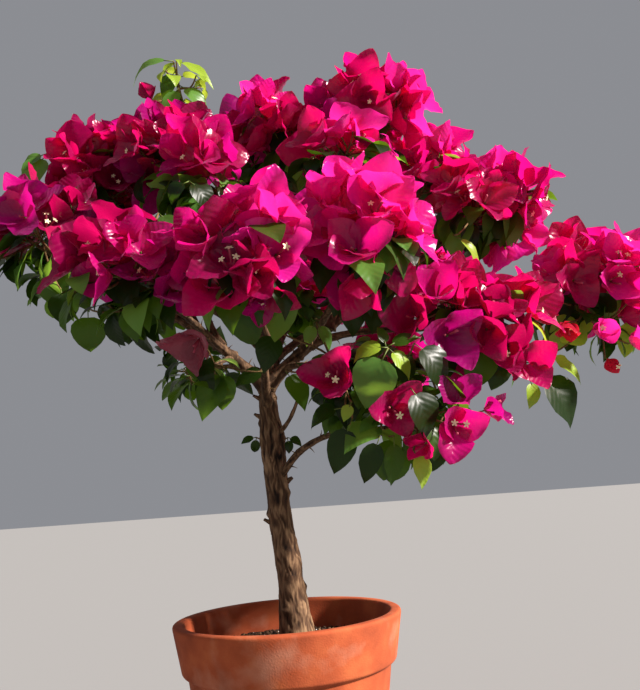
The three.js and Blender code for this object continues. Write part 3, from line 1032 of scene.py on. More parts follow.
for index, mass in enumerate(MASSES):
    twigs_for(mass, index)
TIPS = [tip for mass in MASSES for tip in mass.tips]
print("tips of shoots and twigs:", len(TIPS))

# %% Which tips flower
# The tips that stand highest and furthest out in their mass get the most light, and those
# flower. The ones below keep to leaves, so that each mass is blossom over green. Four masses flower
# on one side of their own.
SHADE_REACH = 120.0
SHADE_CONE = 0.75
SHADE_COST = 0.05
FLOWERING_SIDE = {
    "far_left": Vector((0, 0, 1)),
    "front_left": Vector((0.4, 0, 0.9)),
    "front_right": Vector((-0.6, 0, 0.75)),
    "right_low": Vector((-0.5, -0.3, 0.4)),
}


def light_on(tip):
    mass = tip.mass
    side = FLOWERING_SIDE.get(mass.name, UP + mass.outward * 0.25)
    rise = (tip.at - mass.middle).dot(side) / mass.reach
    shaded = 0
    for other in TIPS:
        d = other.at - tip.at
        if 1 < d.length < SHADE_REACH and d.dot(tip.outward) > SHADE_CONE * d.length:
            shaded += 1
    return rise - SHADE_COST * shaded


for mass in MASSES:
    ranked = sorted([t for t in mass.tips if not t.chosen], key=light_on, reverse=True)
    for tip in ranked[: round(mass.flowers * len(ranked))]:
        tip.blooms = True
print("flowering tips:", sum(tip.blooms for tip in TIPS))

# %% Wood of the twigs
STEM_RADII = (2.4, 1.9)
SHOOT_RADIUS = 1.7
TWIG_RADIUS = 1.15
END_RADIUS = 0.85
TWIG_RING_MM = 9

twig_heap = Heap()
for number, mass in enumerate(MASSES):
    bough = LIMBS[mass.name]
    tube(twig_heap, mass.stem, *STEM_RADII, sides=8, rings=10)
    thorns_along(twig_heap, bough.line, bough.radius, number, 1.0)
    thorns_along(twig_heap, mass.stem, lambda t: 2.0, number + 3, 0.9)
    for line in mass.shoot_lines:
        thorns_along(twig_heap, line, lambda t: 1.2, number + 7, 0.75)
    for line in mass.lines:
        radius = SHOOT_RADIUS if line in mass.shoot_lines else TWIG_RADIUS
        tube(twig_heap, line, radius, END_RADIUS, sides=6, rings=max(4, round(line.length / TWIG_RING_MM)))
FOLIAGE_NODES = [mass.name + "_foliage" for mass in MASSES]
make_piece("twigs", twig_heap, TWIG_BARK, FOLIAGE_NODES)

# %% [markdown]
# ## One blade, for leaves and bracts
# A leaf and a bract are the same kind of thing: a thin blade that widens from its root and ends
# in a point. A flat picture of a leaf would look like card. Here each is a small grid of faces in
# the blade's own outline, bent along its middle rib, raised at its sides and waved at its edge.

# %% Outline and shape of a blade
class Outline:
    """A blade's width along its length: a round foot and a point, as shares of its widest."""

    def __init__(self, foot, point, rows):
        peak = foot / (foot + point)
        widest = peak**foot * (1 - peak) ** point
        self.rows = []
        for i in range(1, rows + 1):
            share = 0.5 - 0.5 * math.cos(math.pi * i / rows)
            self.rows.append((share, share**foot * (1 - share) ** point / widest))


BRACT_OUTLINE = Outline(0.5, 0.8, 13)
ROUND_LEAF = Outline(0.62, 0.95, 10)
POINTED_LEAF = Outline(0.6, 1.3, 10)

# How a blade is curved: bend, tip and twist are angles, and the rest are shares of its size.
Shape = namedtuple("Shape", "outline width bend tip twist cup fold wave ripples crumple")

# %% Blades
COLUMNS = (-1.0, -0.84, -0.58, -0.3, 0.0, 0.3, 0.58, 0.84, 1.0)
SIDE_VEINS = 7.0
VEIN_SLANT = 2.4
LEAN = 0.16
CURL_FROM = 0.62
CUP_FADE = 1.1
FINE_RIPPLE = 2.6
FINE_RIPPLE_HEIGHT = 0.45


def blade_lift(shape, share, edge, place):
    """How far a point is raised by cup and fold, over half the width, and by waves, over the length."""
    hollow = shape.cup * (1 - CUP_FADE * share) * edge * edge + shape.fold * edge
    ripple = edge**1.6 * math.sin(shape.ripples * share + place)
    fine = FINE_RIPPLE_HEIGHT * edge**4 * math.sin(FINE_RIPPLE * shape.ripples * share + 2 * place)
    return hollow, shape.wave * (ripple + fine)


def blade_faces(rows):
    """The faces of a blade: a grid that ends in one point."""
    wide_by = len(COLUMNS)
    tip = (rows - 1) * wide_by
    faces = []
    for i in range(rows - 1):
        for a in range(i * wide_by, (i + 1) * wide_by - 1):
            at_tip = i == rows - 2
            faces.append((a, a + 1, tip) if at_tip else (a, a + 1, a + 1 + wide_by, a + wide_by))
    return faces


def blade(heap, root, along, up, length, shape, random):
    """Adds one blade. up is the way its upper face looks; a positive angle bends it that way."""
    side = along.cross(up).normalized()
    up = side.cross(along).normalized()
    phase, other_phase = ANY_TURN * random(), ANY_TURN * random()
    lean = LEAN * (random() - 0.5)
    points, marks, middle, last = [], [], root.copy(), 0.0
    for share, wide in shape.outline.rows:
        between = (share + last) / 2
        curl = shape.tip * max(0.0, between - CURL_FROM) / (1 - CURL_FROM)
        angle = shape.bend * smooth_share(between, -0.15, 0.85) + curl
        middle = middle + (swing(along, up, angle) + side * lean * between) * ((share - last) * length)
        normal = swing(up, -along, angle)
        across = swing(side, normal, shape.twist * share)
        over = swing(normal, -side, shape.twist * share)
        half = 0.5 * shape.width * length * wide
        grown = min(1.0, 3 * share)
        for u in COLUMNS:
            edge = abs(u)
            hollow, wave = blade_lift(shape, share, edge, phase if u > 0 else other_phase)
            crumple = shape.crumple * (random() - 0.5) * (0.4 + 0.6 * edge)
            lift = hollow * half + (wave * wide + crumple) * length * grown
            points.append(middle + across * (u * half) + over * lift)
            marks.append(SIDE_VEINS * share - VEIN_SLANT * edge * wide)
        last = share
    rows = len(shape.outline.rows)
    kept = (rows - 1) * len(COLUMNS) + 1
    heap.add(points[:kept], blade_faces(rows), marks[:kept])


# %% [markdown]
# ## Bracts and flowers
# What looks like a bougainvillea's petals are bracts: three papery leaves round a set of three
# small cream flowers. They stand in sprays at the ends of the twigs. Each set is placed so that
# it keeps clear of the sets round it, and is turned outwards and up, as they turn to the light.

# %% Heaps of bracts, flowers and stalks
BRACT_TONES = ["magenta", "crimson", "wine", "purple", "hot", "young", "faded"]
bract_heaps = {tone: Heap() for tone in BRACT_TONES}
stalk_heap = Heap()
star_heap = Heap()
throat_heap = Heap()
# Each kind of stalk: its radius at the root and at the end, its sides and its rings.
SET_STALK = (0.8, 0.6, 5, 3)
SIDE_SET_STALK = (0.75, 0.55, 5, 3)
CHOSEN_SET_STALK = (0.8, 0.6, 5, 4)
LEAF_STALK = (0.7, 0.5, 4, 2)

# %% Tones of the sprays: painted shade and painted sunlight
# Tones from deep to light, each with the least depth of painted shade that it is given to. The deep
# tones stand for painted shade, and the light ones for painted sunlight.
TONES_BY_PAINTED_SHADE = (("wine", 1.05), ("purple", 0.95), ("crimson", 0.6), ("magenta", 0.2), ("hot", -9.0))
LEFT_PAINTED_SHADE = 0.5
EDGE_PAINTED_SHADE = 0.4
LOW_PAINTED_SHADE = 0.5
RIGHT_PAINTED_LIGHT = 0.3
FRONT_PAINTED_LIGHT = 0.35
SUN_PAINTED_LIGHT = 0.5


def bract_tone(tip, random):
    """The tone of a whole spray, as painted shade and painted sunlight: deep at the left, low down and away
    from the sun, light at the right, at the front and towards the sun.
    """
    x, y, z = tip.at
    left = smooth_share(-x, -40, 200)
    low = smooth_share(540 - z, 0, 90)
    edge = smooth_share(-x, 90, 200) * smooth_share(690 - z, 0, 60)
    right = smooth_share(x, 120, 340)
    front = smooth_share(-y, 120, 200) * smooth_share(x, 0, 60)
    sunny = (tip.at - tip.mass.middle).dot(SUN_FROM.normalized()) / tip.mass.reach
    # depth is painted shade: it grows at the left, at the edge and low down, and shrinks at the right, at
    # the front and towards the sun.
    depth = random() + max(LEFT_PAINTED_SHADE * left + EDGE_PAINTED_SHADE * edge, LOW_PAINTED_SHADE * low)
    depth -= RIGHT_PAINTED_LIGHT * right + FRONT_PAINTED_LIGHT * front + SUN_PAINTED_LIGHT * sunny * (1 - left)
    return next(tone for tone, least in TONES_BY_PAINTED_SHADE if depth > least)


# %% Flowers
TUBE_MM = 15.0
TUBE_RADII = (0.75, 1.15)
OPEN_FLOWERS = 0.5
LOBES = 5
LOBE_RIM = ((-0.5, 1.5), (-0.2, 3.1), (0.0, 3.5), (0.2, 3.1))


def star_flower(root, way, random, size):
    """A flower: a narrow tube and, where it is open, a star of five lobes at its mouth."""
    tip = root + way * (TUBE_MM * size)
    side = way.orthogonal().normalized()
    line = bezier(root, root.lerp(tip, 0.5) + side * 0.8, tip)
    tube(throat_heap, line, TUBE_RADII[0] * size, TUBE_RADII[1] * size, sides=6, rings=4)
    if random() < 1 - OPEN_FLOWERS:
        return
    over = way.cross(side)
    points = [tip + way * 0.2]
    for k in range(LOBES):
        for step, reach in LOBE_RIM:
            out = swing(side, over, 2 * math.pi * (k + step) / LOBES)
            points.append(tip + (out * reach + way * (1.2 - 0.16 * reach)) * size)
    rim = len(points) - 1
    faces = [(0, 1 + k, 1 + (k + 1) % rim) for k in range(rim)]
    star_heap.add(points, faces, [0.2] + [1.0] * rim)


# %% Sets of three bracts
BRACT_MM = 41.0
FLOWER_CHANCE = 0.5


def bract_set(root, way, tone, size, openness, random):
    """Three bracts round one shoot tip, about half of them with a flower."""
    first = 2 * math.pi * random()
    for third in turns(3):
        out = spoke(way, first + third + 0.3 * (random() - 0.5))
        opened = openness + 0.4 * (random() - 0.5)
        length = BRACT_MM * size * (0.88 + 0.26 * random())
        opening = 0.5 + 0.5 * opened
        shape = Shape(
            BRACT_OUTLINE,
            width=0.76 + 0.2 * random(),
            bend=0.95 - 1.1 * opened,
            tip=0.3 - 1.1 * random(),
            twist=0.8 * (random() - 0.5),
            cup=0.45 + 0.4 * random(),
            fold=0.06 + 0.12 * random(),
            wave=0.055 + 0.06 * random(),
            ripples=5.5 + 4 * random(),
            crumple=0.034,
        )
        along, inner = swing(way, out, opening), swing(-out, way, opening)
        blade(bract_heaps[tone], root + out * 0.8, along, inner, length, shape, random)
        if random() < FLOWER_CHANCE:
            flower_way = (way + out * (0.16 + 0.2 * opened)).normalized()
            star_flower(root + out * 1.4, flower_way, random, 0.8 + 0.3 * random())


# %% Sprays
SET_SPACING = 22.5
SET_MARGIN = 0.5
SET_TO_LIMB = 12
SIDE_SETS = 5
SETS = []
BIG_LEAVES = []
for _, at, _, _, points in CHOSEN_LEAVES:
    BIG_LEAVES += [(Vector(at) + Vector(point)) / 2 for point in points]


def try_set(tip, root, way, tone, size, openness, random):
    """Places a set if there is room for it. Says whether it did."""
    centre = root + way * (0.5 * BRACT_MM * size)
    if not fits(tip.mass, centre, SET_MARGIN, SET_TO_LIMB, LIMBS.values()):
        return False
    if any((centre - other).length < SET_SPACING * size for other in SETS + BIG_LEAVES):
        return False
    SETS.append(centre)
    bract_set(root, way, tone, size, openness, random)
    return True


def flowering_spray(tip, number):
    """One set at the end of a twig, and others round it on stalks of their own."""
    random = series_for("sprays", number)
    random()
    tone = bract_tone(tip, random)
    size = (0.86 + 0.24 * random()) * tip.mass.young
    way = (tip.way * 0.4 + tip.outward * 0.5 + UP * 0.5 + scatter(random) * 0.7).normalized()
    openness = 0.3 + 0.8 * random()
    end = tip.at + way * 5
    if try_set(tip, end, way, tone, size, openness, random):
        line = bezier(tip.at - tip.way * 2, tip.at + way * 2, end + way * 2)
        tube(stalk_heap, line, *SET_STALK)
    for k in range(SIDE_SETS):
        out = spoke(tip.way, k * GOLDEN_ANGLE + 1.5 * random())
        lean = (tip.way * 0.3 + out * 0.85 + tip.outward * 0.3 + UP * 0.35).normalized()
        back = tip.line.at(max(0.2, 1 - (8 + 6 * k) / tip.line.length))
        root = back + lean * (13 + 8 * random())
        if try_set(tip, root, lean, tone, size * 0.95, 0.3 + 0.75 * random(), random):
            tube(stalk_heap, bezier(back, back + lean * 8, root + lean * 2), *SIDE_SET_STALK)


def chosen_set(tip, number):
    """A set that stands apart, which is placed whether or not there is room."""
    facing, tone, size, openness = tip.chosen
    way = Vector(facing).normalized()
    SETS.append(tip.at + way * (0.5 * BRACT_MM * size))
    bract_set(tip.at + way * 3, way, tone, size, openness, series_for("chosen sets", number))
    tube(stalk_heap, bezier(tip.at - tip.way * 4, tip.at, tip.at + way * 5), *CHOSEN_SET_STALK)


for number, tip in enumerate(TIPS):
    if tip.chosen:
        chosen_set(tip, number)
for number, tip in enumerate(TIPS):
    if tip.blooms:
        flowering_spray(tip, number)
print("sets of three bracts:", len(SETS))

# %% [markdown]
# ## Leaves
# The leaves are pointed ovals on short stalks, one after another round each twig. They hang at
# the lower edges of the crown and lie half hidden under the bracts. Three greens are dealt out
# twig by twig: the dark one is painted shade and goes mostly low down, and the bright one is
# painted light and goes mostly on top. Young shoots have yellow-green leaves.

# %% One leaf
STALK = 0.16
STALK_OVERLAP = 2
LEAF_TONES = ["dark", "middle", "bright", "young"]
leaf_heaps = {tone: Heap() for tone in LEAF_TONES}


def leaf_tone(tip, random):
    if tip.mass.name == "top_shoot" or (tip.chosen and tip.chosen[1] == "young"):
        return "young"
    # The dark tone is painted shade, given more often to twigs low in the crown, and the bright tone
    # painted light, given more often to those high up.
    draw = random()
    light = smooth_share(tip.outward.z, -0.2, 0.9)
    if draw < 0.5 - 0.2 * light:
        return "dark"
    return "middle" if draw < 0.86 - 0.1 * light else "bright"


def leaf_blade(tone, root, along, face, length, random, width=0.6, pointed=0.5):
    """A leaf on its stalk, which leaves root in the direction along. pointed is a chance."""
    stalk = length * STALK * (0.8 + 0.6 * random())
    start = root + along * stalk
    shape = Shape(
        POINTED_LEAF if random() < pointed else ROUND_LEAF,
        width=width + 0.1 * random(),
        bend=-0.4 - 0.8 * random(),
        tip=-0.3,
        twist=0.4 * (random() - 0.5),
        cup=-0.1,
        fold=0.2,
        wave=0.014 + 0.016 * random(),
        ripples=9,
        crumple=0.008,
    )
    line = bezier(root, root + along * stalk * 0.6, start + along * STALK_OVERLAP)
    tube(stalk_heap, line, *LEAF_STALK)
    blade(leaf_heaps[tone], start, along, face, length, shape, random)


# %% Leaves on their twigs
LEAF_MM = 48.0
LEAF_EVERY = 10.0
LEAF_TO_SET = 17.0
LEAF_TO_LIMB = 5
LEAF_TRIES = 4
FIRST_LEAF = 0.25
LAST_LEAF = 0.97
LAST_UNDER_BRACTS = 0.55


def leaf_on(tip, share, number, tone, size, random):
    """Puts a leaf on a twig, at the first of a few turns where there is room for it."""
    axis = tip.line.way(share)
    root = tip.line.at(share)
    length = LEAF_MM * size * (0.72 + 0.42 * random())
    for k in range(LEAF_TRIES):
        along = spoke(axis, number * GOLDEN_ANGLE + 0.9 * k + random())
        along = (along + axis * 0.5 - UP * 0.5).normalized()
        middle, end = root + along * length * 0.66, root + along * length * 1.16
        if not in_own_space(tip.mass, middle, -4) or not in_own_space(tip.mass, end, -8):
            continue
        if not clear_of_limbs(middle, LEAF_TO_LIMB, LIMBS.values()):
            continue
        if any(min((middle - c).length, (end - c).length) < LEAF_TO_SET for c in SETS + BIG_LEAVES):
            continue
        leaf_blade(tone, root, along, (UP + tip.outward * 0.5).normalized(), length, random)
        return


def leaves_along(tip, number):
    """The leaves of one twig. A twig without bracts carries a few more at its very end."""
    random = series_for("leaves", number)
    random()
    tone = leaf_tone(tip, random)
    bare_end = not (tip.blooms or tip.chosen)
    span = (LAST_LEAF if bare_end else LAST_UNDER_BRACTS) - FIRST_LEAF
    count = max(1, round(tip.mass.leafy * tip.line.length * span / LEAF_EVERY))
    for k in range(count):
        share = FIRST_LEAF + span * (k + 0.5) / count
        size = tip.mass.young * (1.0 if tip.blooms else 1.05 - 0.35 * share)
        leaf_on(tip, share, k, tone, size, random)
    if bare_end:
        for k in range(1 + round(2 * tip.mass.leafy)):
            leaf_on(tip, 0.985, count + k, tone, tip.mass.young * (0.75 - 0.15 * k), random)


for number, tip in enumerate(TIPS):
    leaves_along(tip, number)

# %% Leaves of the trunk's shoots, and leaves that stand apart
SPROUT_LEAF_MM = 16.0
TOWARDS_VIEW = Vector((0.2, -0.75, 0.65))
CHOSEN_LEAF_GROWTH = 1.08


def sprout_leaves(line, number):
    """Two small leaves that hang from the end of a shoot on the trunk."""
    random = series_for("sprout leaves", number)
    random()
    for k in range(2):
        along = (line.way(1) * (0.9 - 0.7 * k) - UP * (0.5 + 0.5 * k)).normalized()
        leaf_blade("dark", line.at(0.98 - 0.06 * k), along, TOWARDS_VIEW, SPROUT_LEAF_MM, random)


def chosen_leaves():
    """The leaves that stand apart, each from its twig's end to a point of its own."""
    random = series_for("chosen leaves")
    for _, at, tone, width, points in CHOSEN_LEAVES:
        for point in points:
            span = Vector(point) - Vector(at)
            length = span.length / (1 + STALK) * CHOSEN_LEAF_GROWTH
            leaf_blade(tone, Vector(at), span.normalized(), TOWARDS_VIEW, length, random, width, 1)


for number, line in enumerate(SPROUT_LINES):
    sprout_leaves(line, number)
chosen_leaves()
LEAF_FACES = len(blade_faces(len(ROUND_LEAF.rows)))
print("leaves:", sum(len(heap.faces) for heap in leaf_heaps.values()) // LEAF_FACES)

# %% Blade materials
# A leaf's skin is waxed and a bract's is dry as paper. The leaf shines softly, and the bract
# catches the sun in small bright flecks along its creases. Both are thin, and light that falls on
# the far side comes through warmer than it went in.
CRINKLE_MM = 6.6
SHEEN_TINT = "#e8c0f4"
PAPER = {"through": 0.5, "roughness": 0.26, "specular": 0.52, "bump_mm": 0.6, "veined": 0.25, "sheen": 0.16}
WAX = {"through": 0.38, "roughness": 0.36, "specular": 0.3, "bump_mm": 0.25}


def thin_blade(name, colours, through, roughness, specular, bump_mm, veined=0.35, sheen=0.0):
    """A thin leaf-like skin. colours are that of its face and that of the light let through."""
    colour, through_colour = colours
    made, tree, shader = new_material(name)
    place = add_node(tree, "TexCoord").outputs["Object"]
    size = {"Vector": place, "Scale": 1 / (CRINKLE_MM * MM), "Detail": 4.0}
    crinkle = add_node(tree, "TexNoise", size).outputs["Fac"]
    along = add_node(tree, "Attribute", attribute_name="relief").outputs["Fac"]
    turned = add_node(tree, "Math", {0: along, 1: 2 * math.pi}, operation="MULTIPLY")
    veins = add_node(tree, "Math", {0: turned.outputs[0]}, operation="SINE")
    parts = {0: veins.outputs[0], 1: veined, 2: crinkle}
    height = add_node(tree, "Math", parts, operation="MULTIPLY_ADD")
    gloss = (roughness - 0.1, roughness + 0.12)
    roughen(shader, crinkle, height.outputs[0], gloss, 0.6, bump_mm)
    set_inputs(shader, {"Base Color": paint(colour), "Specular IOR Level": specular, "IOR": 1.45})
    sheen_inputs = {"Sheen Weight": sheen, "Sheen Roughness": 0.4, "Sheen Tint": paint(SHEEN_TINT)}
    set_inputs(shader, sheen_inputs)
    lit = add_node(tree, "BsdfTranslucent", {"Color": paint(through_colour)})
    both = add_node(tree, "MixShader", {0: through, 1: shader.outputs[0], 2: lit.outputs[0]})
    set_inputs(tree.nodes["Material Output"], {"Surface": both.outputs[0]})
    return made


# Wine and purple are the bracts' colour with painted shade, hot is it with painted sunlight, and crimson
# and magenta lie between them. Young and faded are the real colours of young and old bracts.
BRACT_COLOURS = {
    "magenta": ("#b00268", "#f21086"),
    "crimson": ("#9e024e", "#ea0a68"),
    "wine": ("#8a0246", "#c40856"),
    "purple": ("#920262", "#d80e88"),
    "hot": ("#d6108e", "#ff2ca2"),
    "young": ("#ae1434", "#ee2840"),
    "faded": ("#984258", "#b45058"),
}
# The dark and bright greens are one leaf green with painted shade and with painted light. Young is the real
# yellow-green of new leaves.
LEAF_COLOURS = {
    "dark": ("#182a0a", "#3c5c0a"),
    "middle": ("#304c14", "#6c941a"),
    "bright": ("#517c34", "#98c03c"),
    "young": ("#8aa632", "#c4d840"),
}
for tone, colours in BRACT_COLOURS.items():
    paper = thin_blade(f"papery bract, {tone}", colours, **PAPER)
    make_piece(f"bracts_{tone}", bract_heaps[tone], paper)
for tone, colours in LEAF_COLOURS.items():
    skin = thin_blade(f"waxy leaf, {tone}", colours, **WAX)
    make_piece(f"leaves_{tone}", leaf_heaps[tone], skin)

# %% Flowers and stalks
# A flower's lobes are thin and pale, and let a little light through. Its tube is covered with
# down, so it is the dullest of the three. A green stalk is smooth but narrow, and hardly shines.
SMALL_SKINS = [
    # piece, its points, material, colours, light let through, roughness and specular level
    ("stalks", stalk_heap, "green stalk", ("#5a6b28", "#7a8a30"), 0.05, 0.5, 0.4),
    ("flower_stars", star_heap, "cream flower lobes", ("#f2e6bc", "#fff6d0"), 0.2, 0.55, 0.4),
    ("flower_tubes", throat_heap, "downy flower tube", ("#b84a62", "#d06a70"), 0.15, 0.7, 0.3),
]
for piece, heap, name, colours, *skin in SMALL_SKINS:
    make_piece(piece, heap, thin_blade(name, colours, *skin, bump_mm=0.1))

# %% [markdown]
# ## The clay pot
# The pot is a plain terracotta one, pressed in a mould and fired without a glaze: a tapering
# wall under a thick band, with a rounded lip. A lathe profile gives the whole shape. It is spun
# in many steps, so that its outline is round, and drain holes are cut through its floor.

# %% Pot shape
POT_HEIGHT = 205.0
RIM_RADIUS = 115.0
FOOT_RADIUS = 76.0
BAND_HEIGHT = 48.0
BAND_STEP = 5.0
WALL = 7.0
FLOOR_THICKNESS = 9.0
LIP_ROUND = 4.0
POT_SIDES = 128
DRAINS = 3
DRAIN_RADIUS = 6.0
DRAIN_RING = 36.0


def wall_radius(z):
    return FOOT_RADIUS + (RIM_RADIUS - FOOT_RADIUS) * z / POT_HEIGHT


def rounded(profile, radius, steps):
    """The profile with each inner corner rounded off, up to a given radius."""
    made = [profile[0]]
    for a, b, c in zip(profile, profile[1:], profile[2:]):
        before, after = Vector(a) - Vector(b), Vector(c) - Vector(b)
        cut = min(radius, before.length * 0.45, after.length * 0.45)
        start, end = Vector(b) + before.normalized() * cut, Vector(b) + after.normalized() * cut
        for i in range(steps + 1):
            t = i / steps
            made.append(tuple(start.lerp(Vector(b), t).lerp(Vector(b).lerp(end, t), t)))
    return made + [profile[-1]]


def pot_profile():
    band = POT_HEIGHT - BAND_HEIGHT
    inner_top = RIM_RADIUS - WALL - BAND_STEP
    profile = [
        (0.0, 0.0),
        (FOOT_RADIUS, 0.0),
        (wall_radius(band) - BAND_STEP, band),
        (wall_radius(band + 2), band + 2),
        (RIM_RADIUS, POT_HEIGHT),
        (inner_top, POT_HEIGHT),
        (wall_radius(FLOOR_THICKNESS) - WALL - BAND_STEP, FLOOR_THICKNESS),
        (0.0, FLOOR_THICKNESS),
    ]
    return rounded(profile, LIP_ROUND, 5)


def spun(profile, sides):
    """A profile from axis to axis, spun round Z, as points and faces."""
    inner = profile[1:-1]
    points = [on_ring(0, 0, profile[0][1])]
    points += [on_ring(r, turn, z) for r, z in inner for turn in turns(sides)]
    points.append(on_ring(0, 0, profile[-1][1]))
    top = len(points) - 1
    last = top - sides
    faces = [(0, 1 + (j + 1) % sides, 1 + j) for j in range(sides)]
    faces += ring_faces(len(inner) - 1, sides, first=1)
    faces += [(top, last + j, last + (j + 1) % sides) for j in range(sides)]
    return points, faces


# %% Pot material
# Terracotta is iron-rich clay, fired porous and left bare. It is dull, a little uneven in
# colour, darker where it stays damp and chalky where salts have dried out of it.
# Each noise on the clay, as the size of its patches in mm and its detail.
CLAY_NOISES = {"mottle": (34.0, 6.0), "damp": (58.0, 7.0), "salt": (44.0, 12.0), "grit": (1.6, 3.0)}
CLAY_STOPS = [(0.3, "#8c3e20"), (0.5, "#a24b28"), (0.7, "#b25c33")]
DAMP_CLAY = "#5a2814"
DRY_SALT = "#d8b49a"
CLAY_ROUGHNESS = (0.78, 0.97)
CLAY_BUMP_MM = 0.5


def stain(tree, patches, limits, most, under, colour):
    """Lays a colour over another. limits is where a patch begins and where it is at its most."""
    low, high = limits
    ends = {"Value": patches, "From Min": low, "From Max": high, "To Max": most}
    share = add_node(tree, "MapRange", ends).outputs[0]
    layers = {0: share, 6: under, 7: paint(colour)}
    return add_node(tree, "Mix", layers, data_type="RGBA").outputs[2]


def fired_clay():
    """Clay in three mixed reds, with damp patches, mostly near its foot, and a bloom of salt."""
    clay, tree, shader = new_material("unglazed terracotta")
    place = add_node(tree, "TexCoord").outputs["Object"]
    noises = {}
    for name, (size_mm, detail) in CLAY_NOISES.items():
        inputs = {"Vector": place, "Scale": 1 / (size_mm * MM), "Detail": detail}
        noises[name] = add_node(tree, "TexNoise", inputs).outputs["Fac"]
    body = add_node(tree, "ValToRGB", {"Fac": noises["mottle"]}, CLAY_STOPS).outputs["Color"]
    height = add_node(tree, "SeparateXYZ", {0: place}).outputs["Z"]
    ends = {"Value": height, "From Min": 0.0, "From Max": 0.21, "To Min": 0.22, "To Max": -0.12}
    rise = add_node(tree, "MapRange", ends).outputs[0]
    damp = add_node(tree, "Math", {0: noises["damp"], 1: rise}, operation="ADD").outputs[0]
    stained = stain(tree, damp, (0.52, 0.76), 0.42, body, DAMP_CLAY)
    salted = stain(tree, noises["salt"], (0.54, 0.82), 0.34, stained, DRY_SALT)
    roughen(shader, noises["grit"], noises["grit"], CLAY_ROUGHNESS, 0.5, CLAY_BUMP_MM)
    set_inputs(shader, {"Base Color": salted, "IOR": 1.5, "Specular IOR Level": 0.3})
    return clay


# %% Pot piece
def drill_hole(pot, at):
    """Cuts a hole through the floor of the pot, at a point in metres."""
    bpy.ops.mesh.primitive_cylinder_add(
        vertices=24,
        radius=DRAIN_RADIUS * MM,
        depth=4 * FLOOR_THICKNESS * MM,
        location=at,
    )
    drill = bpy.context.object
    cut = pot.modifiers.new("drain", "BOOLEAN")
    cut.operation = "DIFFERENCE"
    cut.solver = "EXACT"
    cut.object = drill
    bpy.context.view_layer.objects.active = pot
    bpy.ops.object.modifier_apply(modifier=cut.name)
    bpy.data.objects.remove(drill)


pot_heap = Heap()
pot_heap.add(*spun(pot_profile(), POT_SIDES))
clay_pot = make_piece("clay_pot", pot_heap, fired_clay(), ["pot"])
for turn in turns(DRAINS):
    drill_hole(clay_pot, on_ring(DRAIN_RING * MM, turn, 0))

# %% [markdown]
# ## Soil
# Potting soil is a loose mix: dark crumbs, bits of bark and some white grains of perlite. The
# solid gives its mound. Here the top is a fine sheet pushed up and down by noise, with crumbs
# strewn over it, so that its surface is rough from any side.

# %% Bed of soil
SOIL_CREST = 34.0
SOIL_FALL = 5.0
SOIL_SETTLED = 0.6
# The height and the size of its clods and of its finer lumps.
SOIL_LUMPS = ((1.3, 14), (0.9, 4.5))
SOIL_RINGS = 40
SOIL_SIDES = 120
INNER_RADIUS = RIM_RADIUS - WALL - BAND_STEP
INNER_FOOT_RADIUS = wall_radius(FLOOR_THICKNESS) - WALL - BAND_STEP
INNER_HEIGHT = POT_HEIGHT - LIP_ROUND - FLOOR_THICKNESS


def soil_edge_radius(z):
    share = (z - FLOOR_THICKNESS) / INNER_HEIGHT
    return INNER_FOOT_RADIUS + (INNER_RADIUS - INNER_FOOT_RADIUS) * share - GAP


SOIL_EDGE = soil_edge_radius(GROUND - SOIL_FALL)


def soil_point(r, turn, above=0.0):
    """A point on the top of the soil, or above it: a low mound with clods and finer lumps."""
    flat = on_ring(r, turn, 0)
    height = GROUND - SOIL_FALL * smooth_share(r, SOIL_CREST, SOIL_EDGE) - SOIL_SETTLED
    for rise, size in SOIL_LUMPS:
        height += rise * noise.noise(flat / size)
    return on_ring(r, turn, height + above)


def loose_soil():
    """The top as a sheet of rings from the middle out, then the side down to a flat underside."""
    points = [soil_point(0, 0)]
    for i in range(1, SOIL_RINGS + 1):
        points += [soil_point(SOIL_EDGE * i / SOIL_RINGS, turn) for turn in turns(SOIL_SIDES)]
    base = FLOOR_THICKNESS + GAP
    points += [on_ring(soil_edge_radius(base), turn, base) for turn in turns(SOIL_SIDES)]
    faces = [(0, 1 + j, 1 + (j + 1) % SOIL_SIDES) for j in range(SOIL_SIDES)]
    faces += [(a, d, c, b) for a, b, c, d in ring_faces(SOIL_RINGS, SOIL_SIDES, first=1)]
    faces.append(tuple(range(len(points) - 1, len(points) - 1 - SOIL_SIDES, -1)))
    heap = Heap()
    heap.add(points, faces)
    return heap


# %% Crumbs on the soil
CRUMB_CORNERS = [Vector(c) for c in ((1, 0, 0), (-1, 0, 0), (0, 1, 0), (0, -1, 0), (0, 0, 1), (0, 0, -1))]
CRUMB_FACES = [(0, 2, 4), (2, 1, 4), (1, 3, 4), (3, 0, 4), (2, 0, 5), (1, 2, 5), (3, 1, 5), (0, 3, 5)]


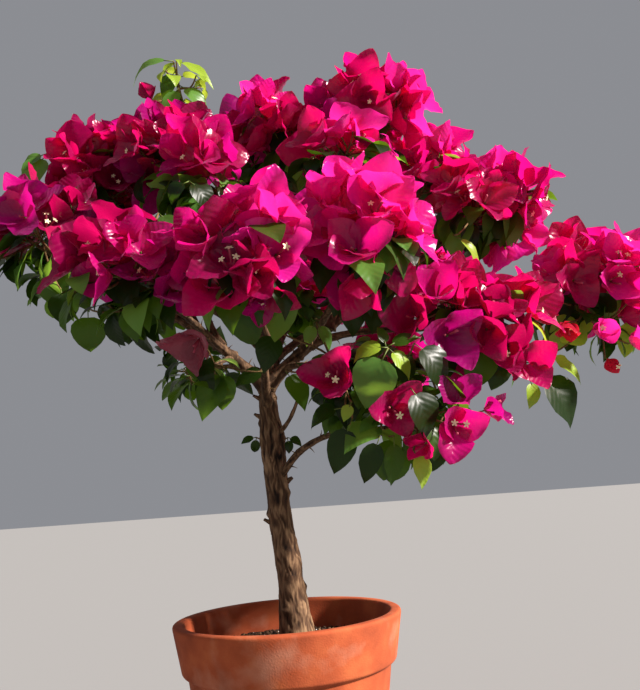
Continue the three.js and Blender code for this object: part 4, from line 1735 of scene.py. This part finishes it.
def crumbs(count, low, high, seed):
    """Small uneven lumps from low to high in size, half sunk in the soil."""
    heap = Heap()
    random = seeded(seed)
    for _ in range(count):
        size = low + (high - low) * random() ** 2
        r = (SOIL_EDGE - size - 1) * math.sqrt(random())
        middle = soil_point(r, 2 * math.pi * random(), above=0.2 * size)
        angle = ANY_TURN * random()
        axis = Vector((random(), random(), random() + 0.1)).normalized()
        spin = Matrix.Rotation(angle, 3, axis)
        points = []
        for c in CRUMB_CORNERS:
            stretched = Vector((c.x * (0.7 + random()), c.y * (0.6 + 0.6 * random()), c.z * 0.7))
            points.append(middle + spin @ stretched * size * 0.6)
        heap.add(points, CRUMB_FACES)
    return heap


# %% Soil material and pieces
# Earth, bark and perlite are all crumbled and porous. They have hardly any gloss, so the eye
# gets their colour, which varies from grain to grain, and the small shadows between the grains.
SOIL_ROUGHNESS = (0.86, 1.0)
SOIL_BUMP_MM = 1.0


def dull_matter(name, dark, pale, grain_mm):
    made, tree, shader = new_material(name)
    place = add_node(tree, "TexCoord").outputs["Object"]
    size = {"Vector": place, "Scale": 1 / (grain_mm * MM), "Detail": 5.0}
    grain = add_node(tree, "TexNoise", size).outputs["Fac"]
    colour = add_node(tree, "ValToRGB", {"Fac": grain}, [(0.35, dark), (0.65, pale)])
    roughen(shader, grain, grain, SOIL_ROUGHNESS, 0.7, SOIL_BUMP_MM)
    set_inputs(shader, {"Base Color": colour.outputs["Color"], "Specular IOR Level": 0.2})
    return made


damp_soil = dull_matter("damp potting soil", "#1c120c", "#3d2b1e", 3.0)
make_piece("soil_bed", loose_soil(), damp_soil, ["soil"])
STREWN = [
    # piece, count, smallest and largest, seed, material, dark and pale colour, grain
    ("soil_crumbs", (900, 1.2, 4.6, 11), ("soil crumbs", "#241710", "#5a4330", 6.0)),
    ("bark_chips", (150, 2.4, 6.5, 23), ("chipped bark", "#4a3020", "#8a6a4a", 5.0)),
    ("perlite", (60, 0.9, 2.2, 37), ("perlite", "#cfc8bc", "#f0ece4", 2.0)),
]
for piece, lumps, matter in STREWN:
    make_piece(piece, crumbs(*lumps), dull_matter(*matter), smooth=piece != "perlite")
